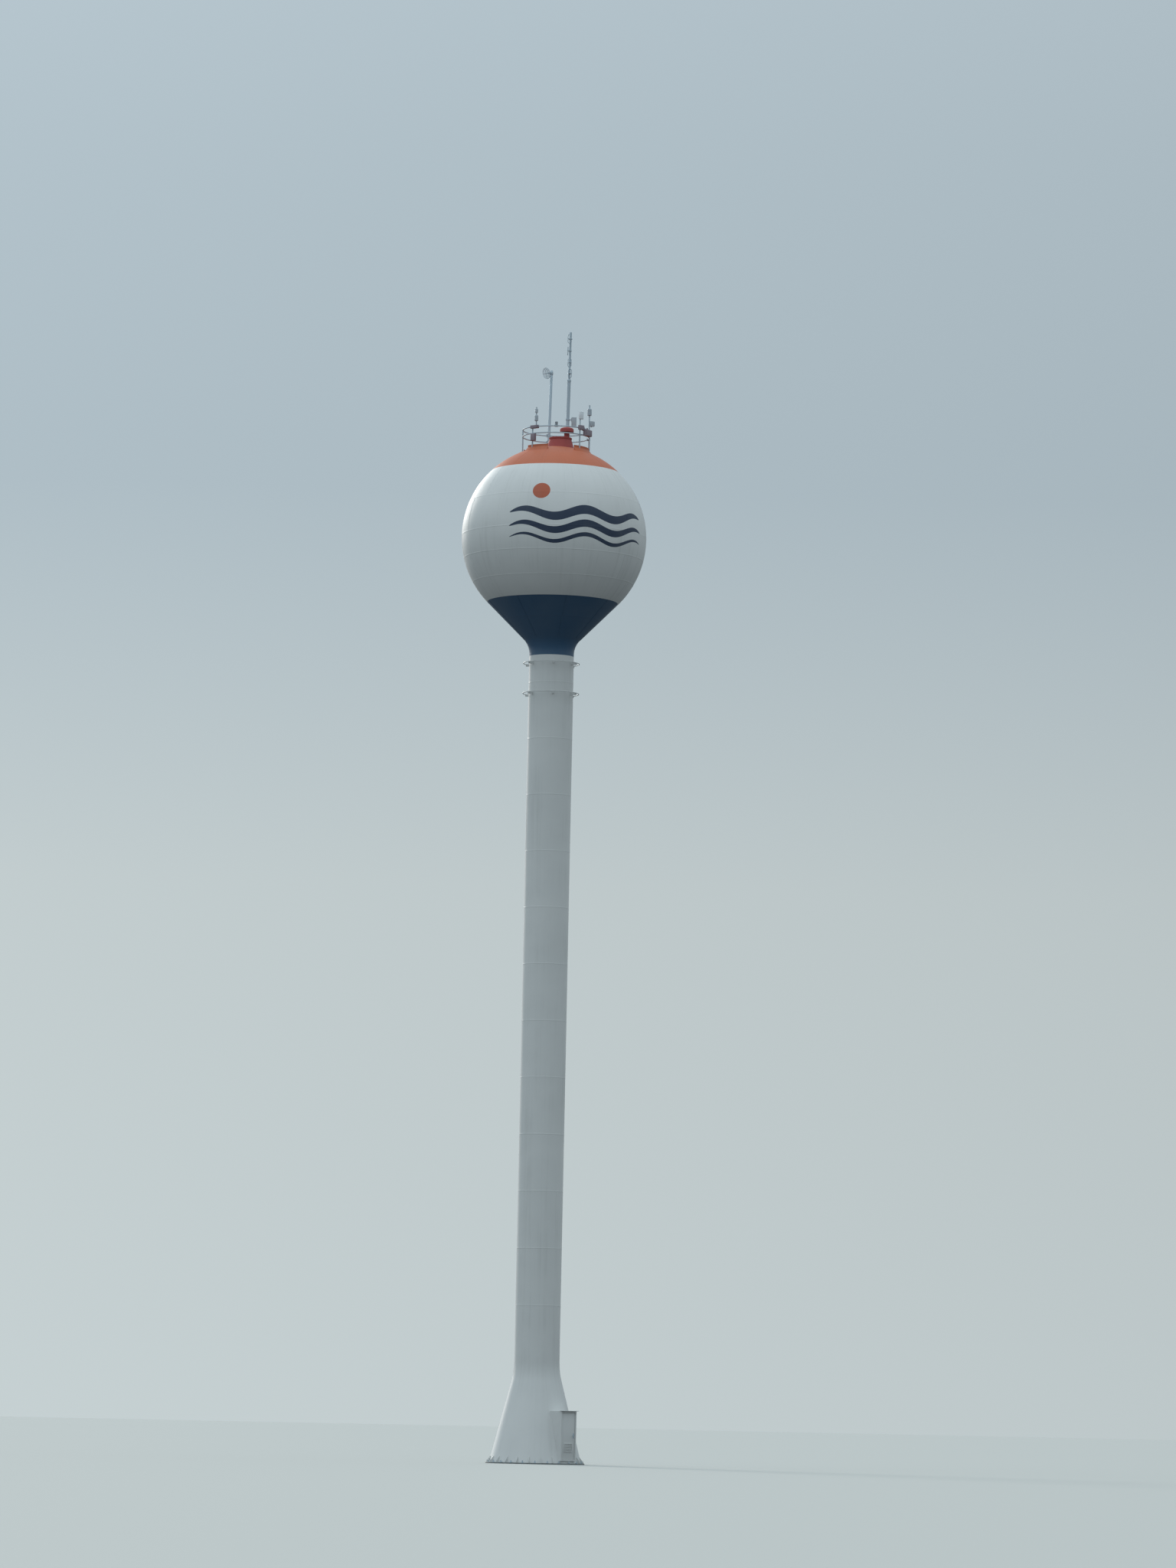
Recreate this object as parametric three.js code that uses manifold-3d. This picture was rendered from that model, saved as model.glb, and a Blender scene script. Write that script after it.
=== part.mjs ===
// A spherical water tower on one slender steel column, as a half-size model.
// Millimetres, +Z up. The origin is the middle of the underside of the base plate.
// Azimuth 0 degrees is +X, the tower's right; -90 degrees is -Y, its front.

import * as THREE from "three";
import { mergeVertices } from "three/addons/utils/BufferGeometryUtils.js";
import Module from "manifold-3d";

const wasm = await Module();
wasm.setup();

// Every size below is that of the full-size tower in metres, turned into model millimetres
const SCALE = 1 / 2;
const real = (metres) => Math.round(metres * 1e6 * SCALE) / 1e3;

// Tank: a ball whose lower part runs tangentially into a 45 degree cone
const BALL_CENTRE_Z = real(39.9);
const BALL_RADIUS = real(4.0);
const TANK_WALL = real(0.01);
const ROOF_LINE = real(2.865);
const BELL_TOP = real(-2.83);
const FLARE_RADIUS = real(0.93);
const NECK_BOTTOM = real(-5.18);

// Column and base cone
const COLUMN_RADIUS = real(0.965);
const COLUMN_WALL = real(0.01);
const COURSES = 5;
const BASE_TOP = real(4.3);
const BASE_WALL = real(0.012);
const BASE_SLOPE = THREE.MathUtils.degToRad(14.5);
const KNUCKLE_RADIUS = real(3.0);
const PLATE_THICKNESS = real(0.05);
const PLATE_LEDGE = real(0.15);

// Access door in a box frame that stands out of the sloping base cone
const DOOR_AZIMUTH = THREE.MathUtils.degToRad(-45);
const DOOR_WIDTH = real(0.8);
const DOOR_HEIGHT = real(2.0);
const DOOR_SILL = real(0.2);
const FRAME_PLATE = real(0.06);
const FRAME_FRONT = real(2.0);
const FRAME_BACK = real(1.1);
const DOOR_CENTRE = [(FRAME_FRONT + FRAME_BACK) / 2, 0, DOOR_SILL + DOOR_HEIGHT / 2];
const LEAF_THICKNESS = real(0.05);
const LEAF_RECESS = real(0.04);

// Painters' rails round the top of the column
const PAINTER_RING_RADIUS = real(1.2);
const PAINTER_BAR = real(0.025);
const PAINTER_LEVELS = { upper: real(-5.48), lower: real(-6.79) };
const PAINTER_BRACKETS = 6;
const PAINTER_FIRST = THREE.MathUtils.degToRad(-85);
const BRACKET = { thickness: real(0.024), height: real(0.12), drop: real(0.03), overlap: real(0.02) };

// Handrail round the roof
const RAIL_RADIUS = real(1.445);
const RAIL_TOP = real(4.71);
const RAIL_MIDDLE = real(4.42);
const RAIL_PIPE = real(0.026);
const POST_PIPE = real(0.03);
const POST_AZIMUTHS = [0, 45, 90, 135, 180, 225, 315];

// Kerb round the roof: an upright lip on a sloping apron, with two gaps that are equally wide
const KERB = { inner: real(1.439), outer: real(1.451), foot: real(1.65), knee: real(3.84), high: real(3.93) };
const KERB_GAP = { azimuths: [-78.75, -171.25], width: real(1.21), depth: real(0.5) };

// Roof turret, a low cone, and the mushroom vent on its lid
const POLE_FOOT = real(3.6);
const TURRET = { x: real(0.19), foot: real(0.698), top: real(0.47), wall: real(0.012), high: real(4.36) };
const LID = { radius: real(0.5), thickness: real(0.05) };
const VENT = { x: real(0.46), neck: real(0.115), cap: real(0.3), lip: real(0.03) };
const VENT_HEIGHTS = { skirt: real(4.66), shoulder: real(4.71), edge: real(4.77), slope: real(4.85),
  top: real(4.885) };

// Aerials: their poles stand just inside the handrail at the back, a little out of plumb
const MAST = { x: real(0.465), y: real(1.235), top: real(9.29), step: real(7.2) };
const MAST_PIPE = { lower: real(0.074), upper: real(0.048) };
const MAST_LEAN = THREE.MathUtils.degToRad(0.84);
const DISH_POLE = { x: real(-0.335), y: real(1.3), top: real(7.58), pipe: real(0.062) };
const DISH_POLE_LEAN = THREE.MathUtils.degToRad(1.1);
const CLAMP = { overhang: real(0.05), width: real(0.13), height: real(0.09) };
const BAY_HEIGHTS = [8.98, 8.46, 7.95, 7.45];
const BAY_AZIMUTHS = [-120, 175, 95, -75];
const BAY_LOOP = { height: real(0.38), width: real(0.14), offset: real(0.1), bar: real(0.013) };
const MAST_RADIO = { x: real(0.765), z: real(5.31), width: real(0.22), depth: real(0.12),
  height: real(0.42) };
const RADIO_ARM = { x: real(0.6), length: real(0.26), thickness: real(0.05), rise: real(0.1) };
const RADIO_GRIP = { x: real(0.49), width: real(0.18), height: real(0.1) };
const DISH = { diameter: real(0.48), depth: real(0.085), sheet: real(0.012) };
const DISH_CENTRE = { x: real(-0.41), y: real(1.12), z: real(7.44) };
const DISH_AIM = new THREE.Vector3(-0.72, -0.63, -0.29).normalize();
const DISH_ARM = { radius: real(0.025), rise: real(0.02), gripWidth: real(0.16), gripHeight: real(0.12) };

// Equipment on the handrail: azimuth in degrees, distance from the axis, sizes and heights
const LEFT_BOX = { azimuth: -130.8, out: real(1.513), width: real(0.22), depth: real(0.14),
  low: real(4.08), high: real(4.4) };
const LEFT_CASE = { azimuth: -130.5, out: RAIL_RADIUS, width: real(0.4), depth: real(0.15),
  low: real(4.63), high: real(4.77) };
const LEFT_AERIAL = { azimuth: -127, out: RAIL_RADIUS, foot: LEFT_CASE.high, top: real(5.55),
  stub: real(0.03), bodies: [
    { low: real(4.95), high: real(5.2), radius: real(0.08) },
    { low: real(5.31), high: real(5.48), radius: real(0.065) },
  ] };
const LAMP = { azimuth: -90, width: real(0.15), depth: real(0.11), height: real(0.1),
  radius: real(0.07), top: real(4.9) };
const RIGHT_CASE = { azimuth: -45, out: real(1.53), width: real(0.26), depth: real(0.14),
  low: real(4.61), high: real(4.81) };
const PANEL = { azimuth: -45, pole: real(0.028), top: real(5.4), out: real(1.505), width: real(0.24),
  depth: real(0.09), low: real(5.08), high: real(5.42) };
const PANEL_GRIP = { width: real(0.1), depth: real(0.12), low: real(4.72), high: real(4.87) };
const CABINET = { azimuth: -30, out: real(1.573), width: real(0.46), depth: real(0.2),
  low: real(4.375), high: real(4.655) };
const HANGER = { side: real(0.15), width: real(0.04), out: real(1.45), depth: real(0.1),
  low: real(4.6), high: real(4.76) };
const OUTER_AERIAL = { azimuth: 18, out: real(1.505), foot: POLE_FOOT, top: real(5.95), stub: real(0.03),
  bodies: [{ low: real(5.49), high: real(5.79), radius: real(0.095) }] };
const OUTER_GRIP = { out: real(1.475), width: real(0.12), depth: real(0.16), half: real(0.055) };
const OUTER_RADIO = { azimuth: 18, out: real(1.63), width: real(0.15), depth: real(0.21),
  low: real(5.01), high: real(5.24) };

// Fineness of the round shapes, the small gap kept to a neighbour that a piece rests on, and the
// overlap of two shapes that are joined into one piece
const SIDES = 40;
const RAIL_SIDES = 24;
const CLEAR = 0.3;
const OVERLAP = 1;

const paint = (color, roughness, metalness = 0) => ({ color, roughness, metalness });
const FINISH = {
  white: paint(0xe2e6e4, 0.45),
  orange: paint(0xc9623d, 0.5),
  navy: paint(0x223247, 0.45),
  shade: paint(0x8c3a2c, 0.55),
  zinc: paint(0x9ba4a8, 0.5, 0.8),
  dark: paint(0x6f646c, 0.6),
  grey: paint(0x8b959b, 0.55),
  pale: paint(0xdadfe2, 0.5),
  plate: paint(0x8d9394, 0.6, 0.3),
};

const tower = new THREE.Group();
const tank = new THREE.Group();
tank.position.z = BALL_CENTRE_Z;
tower.add(tank);

// From a three.js geometry to a solid that can be joined and cut, and back

function toSolid(geometry) {
  const bare = geometry.index ? geometry.toNonIndexed() : geometry.clone();
  bare.deleteAttribute("normal");
  bare.deleteAttribute("uv");
  const place = bare.getAttribute("position");
  for (let i = 0; i < place.array.length; i += 1) {
    place.array[i] = Math.round(place.array[i] * 1e4) / 1e4;
  }
  const merged = mergeVertices(bare, 1e-3);
  const vertices = merged.getAttribute("position").array;
  const corners = [];
  for (let i = 0; i < merged.index.count; i += 3) {
    const [a, b, c] = merged.index.array.slice(i, i + 3);
    if (a !== b && b !== c && c !== a) {
      corners.push([a, b, c]);
    }
  }
  const inward = signedVolume(vertices, corners) < 0;
  const triangles = corners.flatMap(([a, b, c]) => (inward ? [a, c, b] : [a, b, c]));
  const mesh = new wasm.Mesh({
    numProp: 3,
    vertProperties: new Float32Array(vertices),
    triVerts: new Uint32Array(triangles),
  });
  return new wasm.Manifold(mesh);
}

function signedVolume(vertices, corners) {
  const at = (i) => new THREE.Vector3().fromArray(vertices, 3 * i);
  return corners.reduce((sum, [a, b, c]) => sum + at(a).dot(at(b).cross(at(c))) / 6, 0);
}

function toGeometry(solid) {
  const mesh = solid.getMesh();
  const geometry = new THREE.BufferGeometry();
  geometry.setAttribute("position", new THREE.BufferAttribute(mesh.vertProperties.slice(), 3));
  geometry.setIndex(new THREE.BufferAttribute(mesh.triVerts.slice(), 1));
  geometry.computeVertexNormals();
  return geometry;
}

function addPiece(group, name, solid, finish, position = [0, 0, 0]) {
  const mesh = new THREE.Mesh(toGeometry(solid), new THREE.MeshStandardMaterial(finish));
  mesh.name = name;
  mesh.position.set(...position);
  group.add(mesh);
}

// Basic shapes

function revolve(profile, sides = SIDES) {
  const points = profile.map(([r, z]) => new THREE.Vector2(r, z));
  return toSolid(new THREE.LatheGeometry(points, sides).rotateX(Math.PI / 2));
}

function tube(outer, inner, low, high, sides = SIDES) {
  return revolve([[inner, low], [outer, low], [outer, high], [inner, high], [inner, low]], sides);
}

function disc(radius, low, high, sides = SIDES) {
  return revolve([[0, low], [radius, low], [radius, high], [0, high]], sides);
}

function block(width, depth, height, [x, y, z] = [0, 0, 0]) {
  return toSolid(new THREE.BoxGeometry(width, depth, height).translate(x, y, z));
}

function rod(from, to, radius, sides = 8) {
  const start = new THREE.Vector3(...from);
  const along = new THREE.Vector3(...to).sub(start);
  const turn = new THREE.Quaternion().setFromUnitVectors(
    new THREE.Vector3(0, 1, 0), along.clone().normalize());
  const geometry = new THREE.CylinderGeometry(radius, radius, along.length(), sides);
  geometry.translate(0, along.length() / 2, 0).applyQuaternion(turn);
  return toSolid(geometry.translate(...from));
}

// A ring of round bar, level at height z
function hoop(radius, bar, z, sides = RAIL_SIDES) {
  const corners = 6;
  const profile = [];
  for (let i = 0; i <= corners; i += 1) {
    const angle = (2 * Math.PI * (i % corners)) / corners;
    profile.push([radius + bar * Math.cos(angle), z + bar * Math.sin(angle)]);
  }
  return revolve(profile, sides);
}

// Points of an arc about (r, z), between two angles measured up from the outward direction
function arc(r, z, radius, from, to, steps) {
  const points = [];
  for (let i = 0; i <= steps; i += 1) {
    const angle = from + ((to - from) * i) / steps;
    points.push([r + radius * Math.cos(angle), z + radius * Math.sin(angle)]);
  }
  return points;
}

// A wall from its outside line, run upwards, and its inside line, run upwards as well
function wall(outside, inside) {
  return revolve([...outside, ...[...inside].reverse(), outside[0]]);
}

// The four quarters of a round piece, cut along the X and Y axes
const QUARTERS = { front_right: [1, -1], back_right: [1, 1], back_left: [-1, 1], front_left: [-1, -1] };

function quarter(solid, [sx, sy]) {
  const size = 2 * BALL_CENTRE_Z;
  return solid.intersect(block(size, size, 2 * size, [(sx * size) / 2, (sy * size) / 2, 0]));
}

// A post fixed at an azimuth: turns a piece that was drawn at +X about the tower's axis
function turned(solid, azimuth) {
  return solid.rotate([0, 0, THREE.MathUtils.radToDeg(azimuth)]);
}

// A pole drawn upright at its foot, then leaned to the right
function leaned(solid, lean, x, y) {
  return solid.rotate([0, THREE.MathUtils.radToDeg(lean), 0]).translate([x, y, POLE_FOOT]);
}

// Base cone: a straight flare with a rounded knuckle into the column

function baseLine(thickness) {
  const knuckle = arc(COLUMN_RADIUS + KNUCKLE_RADIUS, BASE_TOP, KNUCKLE_RADIUS + thickness,
    Math.PI + BASE_SLOPE, Math.PI, 4);
  const [r, z] = knuckle[0];
  const foot = [r + (z - PLATE_THICKNESS) * Math.tan(BASE_SLOPE), PLATE_THICKNESS];
  return [foot, ...knuckle];
}

const BASE_FOOT_RADIUS = baseLine(0)[0][0];

function addBase() {
  const plate = disc(BASE_FOOT_RADIUS + PLATE_LEDGE, 0, PLATE_THICKNESS);
  addPiece(tower, "base_plate", plate, FINISH.plate);

  const shell = wall(baseLine(0), baseLine(BASE_WALL));
  const inside = revolve([[0, 0], ...baseLine(BASE_WALL), [0, BASE_TOP]]);
  const frame = doorFrame().subtract(inside);
  const opening = doorBlock(CLEAR);
  for (const [side, signs] of Object.entries(QUARTERS)) {
    const piece = quarter(shell, signs).subtract(turned(opening, DOOR_AZIMUTH));
    addPiece(tower, `base_shell_${side}`, piece, FINISH.white);
  }
  addPiece(tower, "door_frame", turned(frame, DOOR_AZIMUTH), FINISH.white);
  addPiece(tower, "door_leaf", turned(doorLeaf(), DOOR_AZIMUTH), FINISH.white);
}

// The outside of the door's box frame, drawn facing +X and made larger by a margin all round
function doorBlock(margin) {
  const side = 2 * (FRAME_PLATE + margin);
  return block(FRAME_FRONT - FRAME_BACK, DOOR_WIDTH + side, DOOR_HEIGHT + side, DOOR_CENTRE);
}

function doorFrame() {
  return doorBlock(0).subtract(block(FRAME_FRONT, DOOR_WIDTH, DOOR_HEIGHT, DOOR_CENTRE));
}

function doorLeaf() {
  const x = FRAME_FRONT - LEAF_RECESS - LEAF_THICKNESS / 2;
  return block(LEAF_THICKNESS, DOOR_WIDTH - 2 * CLEAR, DOOR_HEIGHT - 2 * CLEAR, [x, 0, DOOR_CENTRE[2]]);
}

// Column: equal courses of rolled plate, one above the other

function addColumn() {
  const height = (BALL_CENTRE_Z + NECK_BOTTOM - BASE_TOP) / COURSES;
  const course = tube(COLUMN_RADIUS, COLUMN_RADIUS - COLUMN_WALL, 0, height);
  for (let i = 0; i < COURSES; i += 1) {
    addPiece(tower, `column_course_${i + 1}`, course, FINISH.white, [0, 0, BASE_TOP + i * height]);
  }
}

// Painters' rails: a ring of round bar on flat brackets

function addPaintersRails() {
  const columnRoom = disc(COLUMN_RADIUS + CLEAR, 2 * PAINTER_LEVELS.lower, 0);
  const inner = COLUMN_RADIUS - BRACKET.overlap;
  for (const [level, z] of Object.entries(PAINTER_LEVELS)) {
    let rail = hoop(PAINTER_RING_RADIUS, PAINTER_BAR, z);
    for (let i = 0; i < PAINTER_BRACKETS; i += 1) {
      const bracket = block(PAINTER_RING_RADIUS - inner, BRACKET.thickness, BRACKET.height,
        [(PAINTER_RING_RADIUS + inner) / 2, 0, z - BRACKET.drop]);
      rail = rail.add(turned(bracket, PAINTER_FIRST + (2 * Math.PI * i) / PAINTER_BRACKETS));
    }
    addPiece(tank, `painters_rail_${level}`, rail.subtract(columnRoom), FINISH.white);
  }
}

// Tank

const BELL_TOP_RADIUS = Math.sqrt(BALL_RADIUS ** 2 - BELL_TOP ** 2);
const BELL_CORNER = BELL_TOP - (BELL_TOP_RADIUS - COLUMN_RADIUS);
const FLARE_TANGENT = FLARE_RADIUS * Math.tan(Math.PI / 8);
const FLARE_TOP = Math.round(BELL_CORNER + FLARE_TANGENT * Math.SQRT1_2);
const FLARE_TOP_RADIUS = BELL_TOP_RADIUS - (BELL_TOP - FLARE_TOP);

// A line on the ball from one height to another, with the wall's thickness taken off
function ballLine(thickness, low, high, steps) {
  const radius = BALL_RADIUS - thickness;
  return arc(0, 0, radius, Math.asin(low / radius), Math.asin(high / radius), steps);
}

function neckLine(thickness) {
  const bend = arc(COLUMN_RADIUS + FLARE_RADIUS, BELL_CORNER - FLARE_TANGENT, FLARE_RADIUS + thickness,
    Math.PI, (3 * Math.PI) / 4, 5);
  return [[COLUMN_RADIUS - thickness, NECK_BOTTOM], ...bend.slice(0, -1),
    [FLARE_TOP_RADIUS - thickness * Math.SQRT2, FLARE_TOP]];
}

// The roof as a full body, its facets those of the roof cap, lifted by a small gap
function roofBody(lift) {
  const line = ballLine(0, ROOF_LINE, BALL_RADIUS, 7);
  const dome = revolve([[0, ROOF_LINE - real(1)], [line[0][0], ROOF_LINE - real(1)],
    ...line.slice(0, -1), [0, BALL_RADIUS]]);
  return dome.translate([0, 0, lift]);
}

function addTank() {
  addPiece(tank, "neck_flare", wall(neckLine(0), neckLine(TANK_WALL)), FINISH.navy);

  const slant = TANK_WALL * Math.SQRT2;
  const bell = wall([[FLARE_TOP_RADIUS, FLARE_TOP], [BELL_TOP_RADIUS, BELL_TOP]],
    [[FLARE_TOP_RADIUS - slant, FLARE_TOP], [BELL_TOP_RADIUS - slant, BELL_TOP]]);
  const lower = wall(ballLine(0, BELL_TOP, 0, 5), ballLine(TANK_WALL, BELL_TOP, 0, 5));
  const upper = wall(ballLine(0, 0, ROOF_LINE, 5), ballLine(TANK_WALL, 0, ROOF_LINE, 5));
  for (const [side, signs] of Object.entries(QUARTERS)) {
    addPiece(tank, `bell_cone_${side}`, quarter(bell, signs), FINISH.navy);
    addPiece(tank, `ball_lower_${side}`, quarter(lower, signs), FINISH.white);
    addPiece(tank, `ball_upper_${side}`, quarter(upper, signs), FINISH.white);
  }

  const outside = ballLine(0, ROOF_LINE, BALL_RADIUS, 7).slice(0, -1);
  const inside = ballLine(TANK_WALL, ROOF_LINE, BALL_RADIUS - TANK_WALL, 7).slice(0, -1);
  const cap = revolve([[0, BALL_RADIUS - TANK_WALL], ...inside.reverse(), ...outside, [0, BALL_RADIUS]]);
  addPiece(tank, "roof_cap", cap.add(kerb()), FINISH.orange);
}

// The kerb ends half way into the roof's wall. The handrail's posts and one pole pass through it.
function kerb() {
  const { inner, outer, foot, knee, high } = KERB;
  let band = revolve([[inner, POLE_FOOT], [foot, POLE_FOOT], [outer, knee], [outer, high], [inner, high],
    [inner, POLE_FOOT]]);
  for (const azimuth of KERB_GAP.azimuths) {
    const gap = block(KERB_GAP.depth, KERB_GAP.width, 2 * (high - POLE_FOOT), [outer, 0, high]);
    band = band.subtract(turned(gap, THREE.MathUtils.degToRad(azimuth)));
  }
  const { azimuth, out, stub } = OUTER_AERIAL;
  const pole = rod([out, 0, POLE_FOOT - OVERLAP], [out, 0, high], stub + CLEAR);
  return band.subtract(turned(pole, THREE.MathUtils.degToRad(azimuth)))
    .subtract(railRoom).subtract(roofBody(-TANK_WALL / 2));
}

// Handrail: two rings on seven posts that stand on the roof, with a double bay in front

function handrail(extra) {
  let rail = hoop(RAIL_RADIUS, RAIL_PIPE + extra, RAIL_TOP);
  rail = rail.add(hoop(RAIL_RADIUS, RAIL_PIPE + extra, RAIL_MIDDLE));
  for (const azimuth of POST_AZIMUTHS) {
    const post = rod([RAIL_RADIUS, 0, POLE_FOOT], [RAIL_RADIUS, 0, RAIL_TOP], POST_PIPE + extra);
    rail = rail.add(turned(post, THREE.MathUtils.degToRad(azimuth)));
  }
  return rail;
}

const roofRoom = roofBody(CLEAR);
const railRoom = handrail(CLEAR);

// Turret with its lid, and the mushroom vent on the lid

function addTurret() {
  const outside = [[TURRET.foot, POLE_FOOT], [TURRET.top, TURRET.high]];
  const inside = outside.map(([r, z]) => [r - TURRET.wall, z]);
  const curb = wall(outside, inside).translate([TURRET.x, 0, 0]);
  addPiece(tank, "turret_wall", curb.subtract(roofRoom), FINISH.shade);
  const foot = TURRET.high + LID.thickness;
  const lid = disc(LID.radius, TURRET.high, foot);
  addPiece(tank, "turret_lid", lid.translate([TURRET.x, 0, 0]), FINISH.shade);

  const { neck, cap, lip } = VENT;
  const { skirt, shoulder, edge, slope, top } = VENT_HEIGHTS;
  const vent = revolve([[0, foot], [neck, foot], [neck, shoulder], [cap - lip, shoulder],
    [cap - lip, skirt], [cap, skirt], [cap, edge], [(2 * cap) / 3, slope], [0, top]], RAIL_SIDES);
  addPiece(tank, "roof_vent", vent.translate([VENT.x, 0, 0]), FINISH.shade);
}

// Tall mast with four folded dipoles, one above the other

function mastSolid(extra) {
  const shaft = rod([0, 0, 0], [0, 0, MAST.step - POLE_FOOT], MAST_PIPE.lower + extra);
  const tip = rod([0, 0, MAST.step - POLE_FOOT - OVERLAP], [0, 0, MAST.top - POLE_FOOT],
    MAST_PIPE.upper + extra);
  return leaned(shaft.add(tip), MAST_LEAN, MAST.x, MAST.y);
}

function dipoleBay(z, azimuth) {
  const { height, width, offset, bar } = BAY_LOOP;
  const corner = (side, end) => [offset, (side * width) / 2, z + (end * height) / 2];
  let bay = rod([0, 0, z], [offset, -width / 2, z], bar, 6);
  bay = bay.add(rod(corner(-1, -1), corner(-1, 1), bar, 6));
  bay = bay.add(rod(corner(1, -1), corner(1, 1), bar, 6));
  for (const end of [-1, 1]) {
    bay = bay.add(rod(corner(-1, end), corner(1, end), bar, 6));
  }
  return turned(bay, azimuth);
}

// A block that joins a pole to the handrail at one level
function railClamp(x, y, z) {
  const near = Math.hypot(x, y);
  const far = RAIL_RADIUS + CLAMP.overhang;
  const clamp = block(far - near, CLAMP.width, CLAMP.height, [(far + near) / 2, 0, z]);
  return turned(clamp, Math.atan2(y, x));
}

function addMast() {
  let mast = mastSolid(0);
  BAY_HEIGHTS.forEach((height, i) => {
    const bay = dipoleBay(real(height) - POLE_FOOT, THREE.MathUtils.degToRad(BAY_AZIMUTHS[i]));
    mast = mast.add(leaned(bay, MAST_LEAN, MAST.x, MAST.y));
  });
  for (const z of [RAIL_TOP, RAIL_MIDDLE]) {
    mast = mast.add(railClamp(MAST.x, MAST.y, z));
  }
  mast = mast.subtract(railRoom).subtract(roofRoom);
  addPiece(tank, "dipole_mast", mast, FINISH.zinc);

  const { width, depth, height } = MAST_RADIO;
  const box = block(width, depth, height, [MAST_RADIO.x, MAST.y, MAST_RADIO.z]);
  const z = MAST_RADIO.z + RADIO_ARM.rise;
  const arm = block(RADIO_ARM.length, RADIO_ARM.thickness, RADIO_ARM.thickness, [RADIO_ARM.x, MAST.y, z]);
  const grip = block(RADIO_GRIP.width, RADIO_GRIP.width, RADIO_GRIP.height, [RADIO_GRIP.x, MAST.y, z]);
  addPiece(tank, "mast_radio", box.add(arm).add(grip).subtract(mastSolid(CLEAR)), FINISH.grey);
}

// Shorter pole with a bowl aerial near its top

function dishPole(extra) {
  const pole = rod([0, 0, 0], [0, 0, DISH_POLE.top - POLE_FOOT], DISH_POLE.pipe + extra);
  return leaned(pole, DISH_POLE_LEAN, DISH_POLE.x, DISH_POLE.y);
}

function addDish() {
  let pole = dishPole(0);
  for (const z of [RAIL_TOP, RAIL_MIDDLE]) {
    pole = pole.add(railClamp(DISH_POLE.x, DISH_POLE.y, z));
  }
  addPiece(tank, "dish_pole", pole.subtract(railRoom).subtract(roofRoom), FINISH.zinc);

  const bowl = (r) => DISH.depth * (2 * r / DISH.diameter) ** 2;
  const rings = [0, 0.35, 0.7, 1].map((part) => (part * DISH.diameter) / 2);
  const front = rings.map((r) => [r, bowl(r) + DISH.sheet]);
  const back = rings.map((r) => [r, bowl(r)]).reverse();
  const tilt = new THREE.Quaternion().setFromUnitVectors(new THREE.Vector3(0, 0, 1), DISH_AIM);
  const euler = new THREE.Euler().setFromQuaternion(tilt, "ZYX");
  const degrees = [euler.x, euler.y, euler.z].map(THREE.MathUtils.radToDeg);
  const { x, y, z } = DISH_CENTRE;
  const dish = revolve([...front, ...back], 20).rotate(degrees).translate([x, y, z]);

  const poleX = DISH_POLE.x + Math.tan(DISH_POLE_LEAN) * (z - POLE_FOOT);
  const held = [poleX, DISH_POLE.y, z + DISH_ARM.rise];
  const arm = rod([x, y, z], held, DISH_ARM.radius);
  const grip = block(DISH_ARM.gripWidth, DISH_ARM.gripWidth, DISH_ARM.gripHeight, held);
  addPiece(tank, "grid_dish", dish.add(arm).add(grip).subtract(dishPole(CLEAR)), FINISH.zinc);
}

// Small aerials and boxes carried by the handrail

// An upright block at an azimuth, made larger by a margin all round
function railBox({ azimuth, out, width, depth, low, high }, margin = 0) {
  const side = 2 * margin;
  const box = block(depth + side, width + side, high - low + side, [out, 0, (low + high) / 2]);
  return turned(box, THREE.MathUtils.degToRad(azimuth));
}

// An upright aerial at an azimuth: a thin stub with thicker bodies on it
function uprightAerial({ azimuth, out, foot, top, stub, bodies }) {
  let aerial = rod([out, 0, foot], [out, 0, top], stub);
  for (const { low, high, radius } of bodies) {
    aerial = aerial.add(rod([out, 0, low], [out, 0, high], radius, 12));
  }
  return turned(aerial, THREE.MathUtils.degToRad(azimuth));
}

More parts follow.
